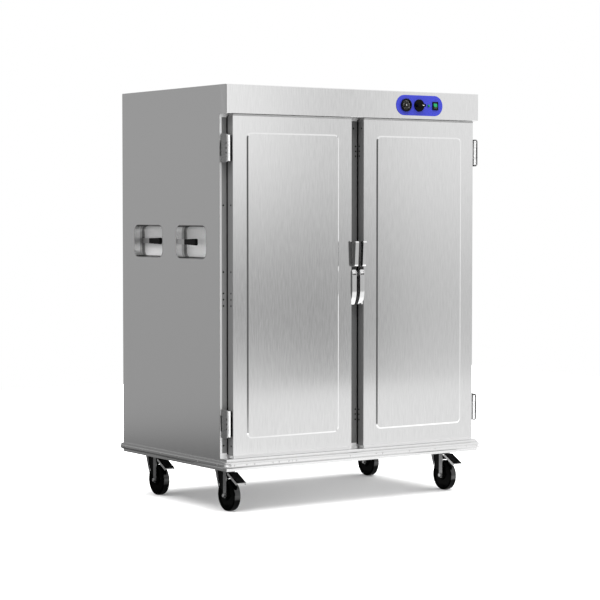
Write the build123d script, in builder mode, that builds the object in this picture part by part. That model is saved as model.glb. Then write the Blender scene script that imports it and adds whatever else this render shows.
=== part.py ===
"""Heated two-door banquet trolley in sheet steel, in millimetres.

Frame: X across the front, -Y towards the user, +Z up, origin on the floor under the middle of the whole trolley.
"""
import os

from build123d import *

os.makedirs("parts", exist_ok=True)

# Cabinet
cabinet_width = 1250.0
cabinet_depth = 767.0
cabinet_top = 1672.0
skin = 1.5
back_insulation = 52.0
header_height = 113.0
header_bend = 3.0

# Chassis and bumper rail
wheel_clearance_height = 172.0
deck_top = 209.0
chassis_wall = 3.0
ledge_height = 10.0
cross_member_width = 124.0
cross_member_plate = 5.0
bumper_bottom = 184.0
bumper_projection = 17.0
bumper_corner = 30.0
bumper_rounding = 9.0

# Cabinet front: pale border, plastic frame round the two bays
border_side = 10.0
border_top = 13.0
border_bottom = 20.0
frame_bar = 45.0
frame_thickness = 6.0
mullion_width = 100.0

# Doors
door_thickness = 37.0
door_seal_gap = 12.0
door_side_inset = 30.6
door_half_gap = 30.3
door_top_gap = 8.3
door_bottom_gap = 13.0
door_panel_margin = 63.0
door_panel_corner = 22.0
door_panel_slope = 6.0
door_panel_rise = 3.5
door_edge_bar = 22.0
gasket_inset = 1.0
gasket_width = 14.0
gasket_clearance = 0.3

# Hinges
hinge_height = 112.0
hinge_centre_offset = 535.0
hinge_barrel_height = 101.0
hinge_pin_radius = 3.0
hinge_barrel_radius = 5.0
hinge_pin_offset = 15.0
hinge_pin_depth = 6.0
hinge_plate = 5.0
hinge_plate_inset = 3.0
hinge_plate_lead = 4.5
hinge_plate_corner = 10.0
hinge_flange_width = 20.0
hinge_flange_height = 88.0
hinge_flange_thickness = 4.0
hinge_knuckle = 46.0
hinge_knuckle_gap = 0.4
hinge_leaf_thickness = 2.5
hinge_arm = 6.0
hinge_arm_reach = 22.0
hinge_arm_foot = 8.0
hinge_leaf_width = 27.0
hinge_leaf_height = 100.0
hinge_leaf_front = 6.0
recess_clearance = 0.2
running_clearance = 0.05

# Lever latches in the gap between the doors
latch_pivot_height = 936.0
latch_pivot_depth = 3.0
latch_width = 21.5
latch_cheek_radius = 9.0
latch_bottom_drop = 130.0
latch_nose_drop = 75.0
latch_nose_setback = 11.5
latch_nose_thickness = 10.0
latch_plate_thickness = 2.5
latch_plate_depth = 33.0
latch_pin_radius = 3.0
lever_width = 16.6
lever_side_clearance = 0.35
lever_slot_drop = 10.0
lever_boss_radius = 7.0
lever_foot_rise = 24.0
lever_neck_depth = 1.0
lever_rise = 126.0
lever_foot_reach = 20.0
lever_reach = 26.0
lever_stand_off = 8.0
lever_rounding = 6.0
lever_foot_rounding = 8.0
hook_width = 8.0
hook_height = 8.0
hook_reach = 42.0
keeper_width = 15.5
keeper_plate = 2.5
keeper_height = 40.0
keeper_pin_radius = 3.5
keeper_pin_depth = 36.0
keeper_pin_clearance = 0.6
keeper_ear = 2.5

# Recessed side handles
cup_length = 231.0
cup_height = 133.0
cup_corner = 30.0
cup_depth = 51.0
cup_floor_radius = 7.0
cup_wall = 1.5
cup_fit = 0.2
cup_centre_offset = 169.0
cup_centre_height = 1060.0
handle_depth_front = 6.5
handle_depth_rear = 40.0
tang_length = 58.0
tang_height = 21.0
tang_thickness = 6.0
grip_length = 90.0
grip_end_height = 27.0
grip_thickness = 12.0
grip_root_thickness = 9.0
grip_root_corner = 3.0
grip_end_corner = 5.0
grip_end_rounding = 3.0

# Bays
runner_count = 10
runner_first_height = 180.0
runner_top_space = 137.0
runner_flange = 25.0
runner_shelf = 20.0
runner_length = 600.0
runner_sheet = 1.5
heater_tube_radius = 4.2
heater_length = 420.0
heater_bend_radius = 60.0
heater_height = 26.0
heater_cover_height = 60.0
heater_cover_width = 300.0
heater_cover_depth = 540.0
heater_post_radius = 4.0
heater_post_setback = 40.0
power_inlet_size = 60.0
power_inlet_flange = 4.0
power_inlet_corner = 6.0
power_inlet_radius = 22.0
power_inlet_length = 38.0
power_inlet_bore_radius = 17.0
power_inlet_bore_depth = 30.0
power_inlet_pin_radius = 2.5
power_inlet_pin_circle = 9.0
power_inlet_inset = 185.0
power_inlet_height = 320.0

# Control plate on the header
plate_inset = 313.0
plate_length = 238.0
plate_height = 83.0
plate_thickness = 2.0
gauge_offset = -71.0
gauge_body_radius = 22.5
gauge_bezel_radius = 26.5
gauge_bezel_height = 8.0
gauge_bezel_rounding = 2.0
gauge_window_radius = 20.0
gauge_dial_depth = 5.0
gauge_body_length = 20.0
gauge_lens_thickness = 1.2
gauge_lens_setback = 0.5
gauge_stub_radius = 1.2
gauge_stub_length = 2.6
needle_length = 15.0
needle_tail = 6.0
needle_hub_radius = 3.2
needle_width = 2.6
needle_taper = 88.0
needle_thickness = 0.8
needle_lift = 1.3
needle_start_angle = 215.0
knob_offset = -4.0
knob_radius = 25.0
knob_skirt = 6.0
knob_grip_height = 16.0
knob_grip_length = 43.0
knob_grip_width = 15.0
knob_grip_taper = 4.0
knob_rounding = 2.0
knob_gap = 0.5
knob_shaft_radius = 3.0
knob_shaft_length = 16.0
knob_hole_radius = 5.0
thermostat_size = 34.0
thermostat_length = 24.0
lamp_offset = 46.4
lamp_radius = 4.5
lamp_bezel_radius = 5.6
lamp_bezel_height = 2.0
lamp_body_length = 14.0
lamp_dome_height = 4.0
switch_offset = 80.0
switch_width = 29.5
switch_height = 33.5
switch_bezel = 3.0
switch_body_width = 25.0
switch_body_height = 29.0
switch_body_length = 22.0
switch_cavity_depth = 16.0
rocker_radius = 11.0
rocker_setback = 1.0
rocker_width = 17.0
rocker_ridge = 3.0
rocker_rise = 1.5
rocker_end_clearance = 0.4
rocker_pin_radius = 1.5
fitting_clearance = 0.2

# Casters
wheel_radius = 62.5
wheel_width = 32.0
wheel_shoulder = 6.0
wheel_dish_depth = 4.0
wheel_rim = 12.0
hub_radius = 17.0
hub_side_gap = 0.5
axle_radius = 6.0
axle_head_radius = 9.0
axle_head_height = 3.0
caster_inset = 84.0
caster_front_setback = 150.0
caster_back_setback = 117.0
caster_trail = 35.0
fork_leg_thickness = 3.0
fork_inner_width = 38.0
fork_strip_half = 11.0
fork_rear = 71.0
fork_tongue_bulge = (55.0, 112.0)
fork_tongue_tip = (43.0, 86.0)
fork_tongue_root = 49.0
fork_tongue_inside = (47.0, 112.0)
fork_band = 4.0
fork_crown_thickness = 6.0
fork_crown_gap = 0.4
plate_size_x = 104.0
plate_size_y = 104.0
caster_plate_thickness = 5.0
race_radius = 30.0
race_height = 10.0
king_pin_radius = 7.0
king_pin_head_radius = 10.0
king_pin_head = 3.0
king_pin_gap = 0.4
brake_pivot_behind = 57.0
brake_pivot_height = 140.0
brake_pin_radius = 3.0
brake_block_width = 34.0
brake_block_top = 142.0
brake_shoe_gap = 5.0
brake_shoe_front = 10.0
brake_block_rear = 63.0
brake_shoe_rear = 47.0
pedal_width = 44.0
pedal_top_reach = 24.0
pedal_top_height = 155.0
pedal_tip_reach = 90.0
pedal_tip_height = 119.0
pedal_sheet = 4.0
pedal_flange = 9.0
pedal_flange_sheet = 2.5
pedal_neck_bottom = 137.0
pedal_neck_reach = 27.0
pedal_neck_share = 0.12

# Places worked out from the dimensions above
half_width = cabinet_width / 2
door_projection = door_thickness + door_seal_gap
total_depth = lever_reach + door_projection + cabinet_depth + bumper_projection
door_front = lever_reach - total_depth / 2
door_back = door_front + door_thickness
cabinet_front = door_front + door_projection
cabinet_back = cabinet_front + cabinet_depth
cabinet_middle = (cabinet_front + cabinet_back) / 2
header_bottom = cabinet_top - header_height
ledge_top = deck_top + ledge_height
door_bottom = ledge_top + door_bottom_gap
door_top = header_bottom - door_top_gap
door_height = door_top - door_bottom
door_middle = (door_top + door_bottom) / 2
door_hinge_edge = -half_width + door_side_inset
door_free_edge = -door_half_gap
door_width = door_free_edge - door_hinge_edge
door_centre = (door_free_edge + door_hinge_edge) / 2
frame_outer = half_width - border_side
frame_bottom = ledge_top + border_bottom
frame_top = header_bottom - border_top
bay_outer = frame_outer - frame_bar
bay_inner = mullion_width / 2
bay_bottom = frame_bottom + frame_bar
bay_top = frame_top - frame_bar
bay_centre = -(bay_outer + bay_inner) / 2
bay_width = bay_outer - bay_inner
liner_front = cabinet_front + frame_thickness
liner_back = cabinet_back - back_insulation
hinge_pin_x = door_hinge_edge - hinge_pin_offset
hinge_pin_y = door_front + hinge_pin_depth
hinge_heights = (door_middle - hinge_centre_offset, door_middle + hinge_centre_offset)
plate_height_z = (header_bottom + cabinet_top) / 2
plate_front = door_front - plate_thickness
plate_centre = half_width - plate_inset
gauge_side = plate_centre + gauge_offset
knob_side = plate_centre + knob_offset
lamp_side = plate_centre + lamp_offset
switch_side = plate_centre + switch_offset
power_inlet_side = half_width - power_inlet_inset
caster_side = half_width - caster_inset
runner_pitch = (bay_top - bay_bottom - runner_first_height - runner_top_space) / (runner_count - 1)
latch_bottom = latch_pivot_height - latch_bottom_drop
latch_nose_top = latch_pivot_height - latch_nose_drop
lever_slot_bottom = latch_pivot_height - lever_slot_drop
lever_foot = latch_pivot_height + lever_foot_rise
lever_top = latch_pivot_height + lever_rise
caster_front = door_front + caster_front_setback
caster_back = cabinet_back - caster_back_setback
axle_height = wheel_radius
fork_top = wheel_clearance_height - caster_plate_thickness - race_height - fork_crown_gap
fork_crown_bottom = fork_top - fork_crown_thickness


def front_plane(y):
    """A plane facing the user at depth y, with X to the right and Z up."""
    return Plane.XZ.offset(-y)


def slab(low, high, mode=Mode.ADD):
    """One rectangular block between two corners."""
    with Locations(tuple((a + b) / 2 for a, b in zip(low, high))):
        Box(*[b - a for a, b in zip(low, high)], mode=mode)


def rod(start, radius, length, along, mode=Mode.ADD):
    """One round bar from a start point along a direction."""
    with Locations(Plane(origin=start, z_dir=along).location):
        Cylinder(radius, length, align=(Align.CENTER, Align.CENTER, Align.MIN), mode=mode)


def save(builder, label):
    """Name a finished piece and write it."""
    builder.part.label = label
    export_step(builder.part, f"parts/{label}.step")


def save_pair(builder, name):
    """Write a left-hand piece and its mirror image on the right."""
    save(builder, f"left_{name}")
    with BuildPart() as other:
        mirror(builder.part, about=Plane.YZ)
    save(other, f"right_{name}")


# Outer panels
cup_places = [(cabinet_middle + cup_centre_offset * side, cup_centre_height) for side in (-1, 1)]
with BuildPart() as side_panel:
    with BuildSketch(Plane.YZ.offset(-half_width)):
        with Locations((cabinet_middle, (deck_top + cabinet_top) / 2)):
            Rectangle(cabinet_depth, cabinet_top - deck_top)
        with Locations(*cup_places):
            RectangleRounded(cup_length, cup_height, cup_corner, mode=Mode.SUBTRACT)
    extrude(amount=skin)
save_pair(side_panel, "side_panel")

inlet_centre = (power_inlet_side, power_inlet_height)
with BuildPart() as back_panel:
    slab((-half_width + skin, cabinet_back - skin, deck_top), (half_width - skin, cabinet_back, cabinet_top))
    with BuildSketch(front_plane(cabinet_back)):
        with Locations(inlet_centre):
            Circle(power_inlet_radius + fitting_clearance)
    extrude(amount=skin, mode=Mode.SUBTRACT)
save(back_panel, "back_panel")

with BuildPart() as top_panel:
    slab(
        (-half_width + skin, cabinet_front, cabinet_top - skin),
        (half_width - skin, cabinet_back - skin, cabinet_top),
    )
save(top_panel, "top_panel")

# Header box with the openings for its controls
with BuildPart() as header:
    slab((-half_width, door_front, header_bottom), (half_width, cabinet_front, cabinet_top))
    fillet(header.faces().sort_by(Axis.Y)[0].edges(), header_bend)
    offset(amount=-skin, openings=header.faces().sort_by(Axis.Y)[-1])
    with BuildSketch(front_plane(door_front)) as control_openings:
        with Locations((gauge_side, plate_height_z)):
            Circle(gauge_body_radius + fitting_clearance)
        with Locations((knob_side, plate_height_z)):
            Circle(knob_hole_radius)
        with Locations((lamp_side, plate_height_z)):
            Circle(lamp_radius + fitting_clearance)
        with Locations((switch_side, plate_height_z)):
            Rectangle(switch_body_width + 2 * fitting_clearance, switch_body_height + 2 * fitting_clearance)
    extrude(amount=-2 * skin, mode=Mode.SUBTRACT)
save(header, "header_fascia")

# Pale border strips round the plastic frame
with BuildPart() as front_strips:
    slab(
        (-half_width + skin, cabinet_front, deck_top),
        (half_width - skin, cabinet_front + skin, header_bottom + border_top),
    )
    slab(
        (-frame_outer, cabinet_front, frame_bottom),
        (frame_outer, cabinet_front + skin, frame_top),
        mode=Mode.SUBTRACT,
    )
save(front_strips, "front_strips")

# Plastic frame round the two bays
with BuildPart() as front_frame:
    with BuildSketch(front_plane(cabinet_front)):
        with Locations((0, (frame_bottom + frame_top) / 2)):
            Rectangle(2 * frame_outer, frame_top - frame_bottom)
        with Locations(*[(side * bay_centre, (bay_bottom + bay_top) / 2) for side in (-1, 1)]):
            Rectangle(bay_width, bay_top - bay_bottom, mode=Mode.SUBTRACT)
    extrude(amount=-frame_thickness)
save(front_frame, "front_frame")

# Bay liners and the insulation round them
liner_low = (-bay_outer - skin, liner_front, bay_bottom - skin)
liner_high = (-bay_inner + skin, liner_back, bay_top + skin)
with BuildPart() as liner:
    slab(liner_low, liner_high)
    offset(amount=-skin, openings=liner.faces().sort_by(Axis.Y)[0])
save_pair(liner, "liner")

with BuildPart() as insulation:
    slab((-half_width + skin, liner_front, deck_top), (half_width - skin, cabinet_back - skin, cabinet_top - skin))
    slab(liner_low, liner_high, mode=Mode.SUBTRACT)
    slab((-liner_high[0], *liner_low[1:]), (-liner_low[0], *liner_high[1:]), mode=Mode.SUBTRACT)
    for side in (-1, 1):
        with BuildSketch(Plane.YZ.offset(side * half_width)):
            with Locations(*cup_places):
                RectangleRounded(cup_length, cup_height, cup_corner)
        extrude(amount=-side * cup_depth, mode=Mode.SUBTRACT)
    with BuildSketch(front_plane(cabinet_back)):
        with Locations(inlet_centre):
            Circle(power_inlet_radius + fitting_clearance)
    extrude(amount=power_inlet_length, mode=Mode.SUBTRACT)
save(insulation, "insulation")

# Chassis: folded deck with a front ledge and two cross members for the casters
with BuildPart() as base_frame:
    slab((-half_width, door_front, wheel_clearance_height), (half_width, cabinet_back, deck_top))
    offset(amount=-chassis_wall, openings=base_frame.faces().sort_by(Axis.Z)[0])
    slab((-half_width, door_front, deck_top), (half_width, cabinet_front, ledge_top))
    for row in (caster_front, caster_back):
        slab(
            (-half_width, row - cross_member_width / 2, wheel_clearance_height),
            (half_width, row + cross_member_width / 2, deck_top),
        )
        slab(
            (
                -half_width + chassis_wall,
                row - cross_member_width / 2 + chassis_wall,
                wheel_clearance_height + cross_member_plate,
            ),
            (
                half_width - chassis_wall,
                row + cross_member_width / 2 - chassis_wall,
                deck_top - chassis_wall,
            ),
            mode=Mode.SUBTRACT,
        )
save(base_frame, "base_frame")

# Bumper rail round the chassis
with BuildPart() as bumper:
    with BuildSketch(Plane.XY.offset(bumper_bottom)):
        with Locations((0, (door_front + cabinet_back) / 2)):
            RectangleRounded(
                cabinet_width + 2 * bumper_projection,
                cabinet_back - door_front + 2 * bumper_projection,
                bumper_corner,
            )
    extrude(amount=deck_top - bumper_bottom)
    fillet(
        bumper.faces().sort_by(Axis.Z)[0].edges() + bumper.faces().sort_by(Axis.Z)[-1].edges(),
        bumper_rounding,
    )
    slab((-half_width, door_front, bumper_bottom), (half_width, cabinet_back, deck_top), mode=Mode.SUBTRACT)
save(bumper, "bumper")

# Recessed handle cups, each with a steel tang and a tapered grip
with BuildPart() as cup:
    with BuildSketch(Plane.YZ.offset(-half_width)):
        RectangleRounded(cup_length - 2 * cup_fit, cup_height - 2 * cup_fit, cup_corner - cup_fit)
    extrude(amount=cup_depth - cup_fit)
    fillet(cup.faces().sort_by(Axis.X)[-1].edges(), cup_floor_radius)
    offset(amount=-cup_wall, openings=cup.faces().sort_by(Axis.X)[0])
with BuildPart() as handle_cups:
    with Locations(*[(0, *place) for place in cup_places]):
        add(cup.part)
    mirror(about=Plane.YZ)
save(handle_cups, "handle_cups")

handle_places = [
    (-half_width + depth, place[0] + cup_length / 2 - cup_fit - cup_wall, place[1])
    for place, depth in zip(cup_places, (handle_depth_front, handle_depth_rear))
]
with BuildPart() as tang:
    slab(
        (-tang_thickness / 2, -tang_length, -tang_height / 2),
        (tang_thickness / 2, 0, tang_height / 2),
    )
with BuildPart() as handle_tangs:
    with Locations(*handle_places):
        add(tang.part)
    mirror(about=Plane.YZ)
save(handle_tangs, "handle_tangs")

with BuildPart() as grip:
    with BuildSketch(front_plane(-tang_length)):
        RectangleRounded(grip_root_thickness, tang_height, grip_root_corner)
    with BuildSketch(front_plane(-tang_length - grip_length)):
        RectangleRounded(grip_thickness, grip_end_height, grip_end_corner)
    loft()
    fillet(grip.faces().sort_by(Axis.Y)[0].edges(), grip_end_rounding)
with BuildPart() as handle_grips:
    with Locations(*handle_places):
        add(grip.part)
    mirror(about=Plane.YZ)
save(handle_grips, "handle_grips")

# Angle runners on both walls of each bay
runner_start = (liner_front + liner_back - runner_length) / 2
with BuildPart() as runner:
    with BuildSketch(front_plane(runner_start)):
        with BuildLine():
            Polyline(
                (0, 0),
                (runner_shelf, 0),
                (runner_shelf, -runner_sheet),
                (runner_sheet, -runner_sheet),
                (runner_sheet, -runner_flange),
                (0, -runner_flange),
                close=True,
            )
        make_face()
    extrude(amount=-runner_length)
with BuildPart() as facing_runner:
    mirror(runner.part, about=Plane.YZ)
with BuildPart() as bay_runners:
    levels = [bay_bottom + runner_first_height + runner_pitch * level for level in range(runner_count)]
    with Locations(*[(wall, 0, level) for wall in (-bay_outer, bay_inner) for level in levels]):
        add(runner.part)
    with Locations(*[(wall, 0, level) for wall in (-bay_inner, bay_outer) for level in levels]):
        add(facing_runner.part)
save(bay_runners, "bay_runners")

# Heater in the floor of each bay: a hairpin element on two posts, under a folded cover
heater_middle = (liner_front + liner_back) / 2
heater_level = bay_bottom + heater_height
heater_front = heater_middle - heater_length / 2
heater_back = heater_middle + heater_length / 2
with BuildPart() as heater:
    with BuildLine() as hairpin:
        Line(
            (bay_centre - heater_bend_radius, heater_front, heater_level),
            (bay_centre - heater_bend_radius, heater_back, heater_level),
        )
        RadiusArc(
            (bay_centre - heater_bend_radius, heater_back, heater_level),
            (bay_centre + heater_bend_radius, heater_back, heater_level),
            heater_bend_radius,
        )
        Line(
            (bay_centre + heater_bend_radius, heater_back, heater_level),
            (bay_centre + heater_bend_radius, heater_front, heater_level),
        )
    with BuildSketch(front_plane(heater_front)):
        with Locations((bay_centre - heater_bend_radius, heater_level)):
            Circle(heater_tube_radius)
    sweep(path=hairpin.line)
    for side in (-1, 1):
        rod(
            (bay_centre + side * heater_bend_radius, heater_front + heater_post_setback, bay_bottom),
            heater_post_radius,
            heater_height,
            (0, 0, 1),
        )
with BuildPart() as heater_elements:
    add(heater.part)
    mirror(about=Plane.YZ)
save(heater_elements, "heater_elements")

with BuildPart() as heater_covers:
    slab(
        (bay_centre - heater_cover_width / 2, heater_middle - heater_cover_depth / 2, bay_bottom),
        (
            bay_centre + heater_cover_width / 2,
            heater_middle + heater_cover_depth / 2,
            bay_bottom + heater_cover_height,
        ),
    )
    cover_ends = heater_covers.faces().sort_by(Axis.Y)
    offset(
        amount=-skin,
        openings=[heater_covers.faces().sort_by(Axis.Z)[0], cover_ends[0], cover_ends[-1]],
    )
    mirror(about=Plane.YZ)
save(heater_covers, "heater_covers")

# Mains inlet in the back, with its contact pins
with BuildPart() as power_inlet:
    with BuildSketch(front_plane(cabinet_back)):
        with Locations(inlet_centre):
            RectangleRounded(power_inlet_size, power_inlet_size, power_inlet_corner)
    extrude(amount=-power_inlet_flange)
    with BuildSketch(front_plane(cabinet_back)):
        with Locations(inlet_centre):
            Circle(power_inlet_radius)
    extrude(amount=power_inlet_length - fitting_clearance)
    with BuildSketch(front_plane(cabinet_back + power_inlet_flange)):
        with Locations(inlet_centre):
            Circle(power_inlet_bore_radius)
    extrude(amount=power_inlet_bore_depth, mode=Mode.SUBTRACT)
    with BuildSketch(front_plane(cabinet_back + power_inlet_flange - power_inlet_bore_depth)):
        with Locations(inlet_centre):
            with PolarLocations(power_inlet_pin_circle, 3, start_angle=90):
                Circle(power_inlet_pin_radius)
    extrude(amount=-(power_inlet_bore_depth - power_inlet_flange))
save(power_inlet, "power_inlet")

# Door: pressed outer skin, edge profile, core, inner skin and seal
def raised_panel(y, mode=Mode.ADD):
    """The raised middle of the door, standing out from depth y with sloping sides."""
    outlines = []
    for step in (0, 1):
        with BuildSketch(front_plane(y - step * door_panel_rise)) as outline:
            with Locations((door_centre, door_middle)):
                RectangleRounded(
                    door_width - 2 * (door_panel_margin + step * door_panel_slope),
                    door_height - 2 * (door_panel_margin + step * door_panel_slope),
                    door_panel_corner - step * door_panel_slope,
                )
        outlines.append(outline.sketch)
    loft(outlines, mode=mode)


with BuildPart() as door_outer_skin:
    with BuildSketch(front_plane(door_front)):
        with Locations((door_centre, door_middle)):
            Rectangle(door_width, door_height)
    extrude(amount=-skin)
    raised_panel(door_front)
    raised_panel(door_front + skin, mode=Mode.SUBTRACT)
save_pair(door_outer_skin, "door_outer_skin")

inner_width = door_width - 2 * door_edge_bar
inner_height = door_height - 2 * door_edge_bar
leaf_recess_depth = hinge_leaf_thickness + recess_clearance
with BuildPart() as door_edge_frame:
    with BuildSketch(front_plane(door_front + skin)):
        with Locations((door_centre, door_middle)):
            Rectangle(door_width, door_height)
            Rectangle(inner_width, inner_height, mode=Mode.SUBTRACT)
    extrude(amount=-(door_thickness - skin))
    for height in hinge_heights:
        slab(
            (
                door_hinge_edge,
                door_front + hinge_leaf_front - recess_clearance,
                height - hinge_leaf_height / 2 - recess_clearance,
            ),
            (
                door_hinge_edge + leaf_recess_depth,
                door_front + hinge_leaf_front + hinge_leaf_width + recess_clearance,
                height + hinge_leaf_height / 2 + recess_clearance,
            ),
            mode=Mode.SUBTRACT,
        )
save_pair(door_edge_frame, "door_edge_frame")

with BuildPart() as door_core:
    with BuildSketch(front_plane(door_front + skin)):
        with Locations((door_centre, door_middle)):
            Rectangle(inner_width, inner_height)
    extrude(amount=-(door_thickness - 2 * skin))
    raised_panel(door_front + skin)
save_pair(door_core, "door_core")

with BuildPart() as door_inner_skin:
    with BuildSketch(front_plane(door_back - skin)):
        with Locations((door_centre, door_middle)):
            Rectangle(inner_width, inner_height)
    extrude(amount=-skin)
save_pair(door_inner_skin, "door_inner_skin")

with BuildPart() as door_gasket:
    with BuildSketch(front_plane(door_back)):
        with Locations((door_centre, door_middle)):
            Rectangle(door_width - 2 * gasket_inset, door_height - 2 * gasket_inset)
            Rectangle(
                door_width - 2 * gasket_inset - 2 * gasket_width,
                door_height - 2 * gasket_inset - 2 * gasket_width,
                mode=Mode.SUBTRACT,
            )
    extrude(amount=-(door_seal_gap - gasket_clearance))
save_pair(door_gasket, "door_gasket")

# Hinges: a frame leaf with a side plate that reaches out to the barrel, a pin, and a leaf let into the door's edge
leaf_left = -half_width + hinge_plate_inset
leaf_right = leaf_left + hinge_plate
knuckle_end = hinge_knuckle / 2 + hinge_knuckle_gap
end_knuckle = hinge_barrel_height / 2 - knuckle_end
with BuildPart() as frame_leaf:
    slab(
        (leaf_left, hinge_pin_y - hinge_plate_lead, -hinge_height / 2),
        (leaf_right, cabinet_front, hinge_height / 2),
    )
    fillet(frame_leaf.edges().filter_by(Axis.X), hinge_plate_corner)
    slab(
        (leaf_left, cabinet_front - hinge_flange_thickness, -hinge_flange_height / 2),
        (leaf_left + hinge_flange_width, cabinet_front, hinge_flange_height / 2),
    )
    for bottom in (-hinge_barrel_height / 2, knuckle_end):
        slab(
            (leaf_right, hinge_pin_y, bottom),
            (hinge_pin_x, hinge_pin_y + hinge_barrel_radius, bottom + end_knuckle),
        )
        rod((hinge_pin_x, hinge_pin_y, bottom), hinge_barrel_radius, end_knuckle, (0, 0, 1))
        rod((hinge_pin_x, hinge_pin_y, bottom), hinge_pin_radius, end_knuckle, (0, 0, 1), mode=Mode.SUBTRACT)
with BuildPart() as hinge_frame_leaves:
    with Locations(*[(0, 0, height) for height in hinge_heights]):
        add(frame_leaf.part)
    mirror(about=Plane.YZ)
save(hinge_frame_leaves, "hinge_frame_leaves")

with BuildPart() as hinge_pins:
    for height in hinge_heights:
        rod(
            (hinge_pin_x, hinge_pin_y, height - hinge_barrel_height / 2),
            hinge_pin_radius,
            hinge_barrel_height,
            (0, 0, 1),
        )
    mirror(about=Plane.YZ)
save(hinge_pins, "hinge_pins")

# The door's knuckle is carried by an arm that runs back from the barrel and then across to the edge
arm_back = hinge_pin_y + hinge_arm_reach
with BuildPart() as door_leaf:
    slab(
        (door_hinge_edge, door_front + hinge_leaf_front, -hinge_leaf_height / 2),
        (
            door_hinge_edge + hinge_leaf_thickness,
            door_front + hinge_leaf_front + hinge_leaf_width,
            hinge_leaf_height / 2,
        ),
    )
    slab(
        (hinge_pin_x - hinge_arm / 2, arm_back - hinge_arm_foot, -hinge_knuckle / 2),
        (door_hinge_edge, arm_back, hinge_knuckle / 2),
    )
    slab(
        (hinge_pin_x - hinge_arm / 2, hinge_pin_y, -hinge_knuckle / 2),
        (hinge_pin_x + hinge_arm / 2, arm_back, hinge_knuckle / 2),
    )
    rod((hinge_pin_x, hinge_pin_y, -hinge_knuckle / 2), hinge_barrel_radius, hinge_knuckle, (0, 0, 1))
    rod(
        (hinge_pin_x, hinge_pin_y, -hinge_knuckle / 2),
        hinge_pin_radius + running_clearance,
        hinge_knuckle,
        (0, 0, 1),
        mode=Mode.SUBTRACT,
    )
with BuildPart() as hinge_door_leaves:
    with Locations(*[(0, 0, height) for height in hinge_heights]):
        add(door_leaf.part)
save_pair(hinge_door_leaves, "hinge_door_leaves")

# Latch housing on the free edge of the left door, with the lever's pin across its slot
latch_far = door_free_edge + latch_width
latch_centre = door_free_edge + latch_width / 2
latch_pivot_y = door_front + latch_pivot_depth
latch_front = latch_pivot_y - latch_cheek_radius
latch_back = latch_pivot_y + latch_cheek_radius
slot_half = lever_width / 2 + lever_side_clearance
nose_front = door_front + latch_nose_setback
with BuildPart() as latch_housing:
    with BuildSketch(Plane.YZ.offset(door_free_edge)):
        with BuildLine():
            Line((latch_front, latch_pivot_height), (latch_front, latch_nose_top))
            TangentArc(
                (latch_front, latch_nose_top),
                (nose_front, latch_bottom),
                tangent=(0, -1),
            )
            Line((nose_front, latch_bottom), (nose_front + latch_nose_thickness, latch_bottom))
            Line((nose_front + latch_nose_thickness, latch_bottom), (latch_back, latch_nose_top))
            Line((latch_back, latch_nose_top), (latch_back, latch_pivot_height))
            ThreePointArc(
                (latch_back, latch_pivot_height),
                (latch_pivot_y, latch_pivot_height + latch_cheek_radius),
                (latch_front, latch_pivot_height),
            )
        make_face()
    extrude(amount=latch_width)
    slab(
        (door_free_edge, latch_pivot_y, latch_bottom),
        (door_free_edge + latch_plate_thickness, door_front + latch_plate_depth, lever_slot_bottom),
    )
    slab(
        (latch_centre - slot_half, latch_front - latch_width, lever_slot_bottom),
        (latch_centre + slot_half, latch_back + latch_width, latch_pivot_height + latch_width),
        mode=Mode.SUBTRACT,
    )
    rod((door_free_edge, latch_pivot_y, latch_pivot_height), latch_pin_radius, latch_width, (1, 0, 0))
save_pair(latch_housing, "latch_housing")

# Latch lever: an arm that leans out above the pivot and a hook that reaches back to the keeper
lever_left = latch_centre - lever_width / 2
with BuildPart() as latch_lever:
    with BuildSketch(Plane.YZ.offset(lever_left)):
        with BuildLine():
            Polyline(
                (latch_pivot_y, latch_pivot_height - lever_boss_radius),
                (latch_pivot_y - lever_boss_radius, latch_pivot_height),
                (door_front - lever_neck_depth, lever_foot),
                (door_front - lever_foot_reach, lever_foot),
                (door_front - lever_reach, lever_top),
                (door_front - lever_stand_off, lever_top),
                (door_front - lever_stand_off, lever_foot + 2 * lever_foot_rounding),
                (latch_pivot_y + lever_boss_radius, latch_pivot_height),
                close=True,
            )
        make_face()
        with Locations((latch_pivot_y, latch_pivot_height)):
            Circle(lever_boss_radius)
    extrude(amount=lever_width)
    top_edges = latch_lever.edges().filter_by(Axis.X).sort_by(Axis.Z)[-2:]
    fillet(top_edges, lever_rounding)
    foot_edges = latch_lever.edges().filter_by(Axis.X).filter_by_position(Axis.Z, lever_foot, lever_foot)
    fillet(foot_edges.sort_by(Axis.Y)[0], lever_foot_rounding)
    slab(
        (latch_centre - hook_width / 2, latch_pivot_y, latch_pivot_height - hook_height / 2),
        (latch_centre + hook_width / 2, door_front + hook_reach, latch_pivot_height + hook_height / 2),
    )
    rod(
        (lever_left, latch_pivot_y, latch_pivot_height),
        latch_pin_radius + running_clearance,
        lever_width,
        (1, 0, 0),
        mode=Mode.SUBTRACT,
    )
save_pair(latch_lever, "latch_lever")

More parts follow.
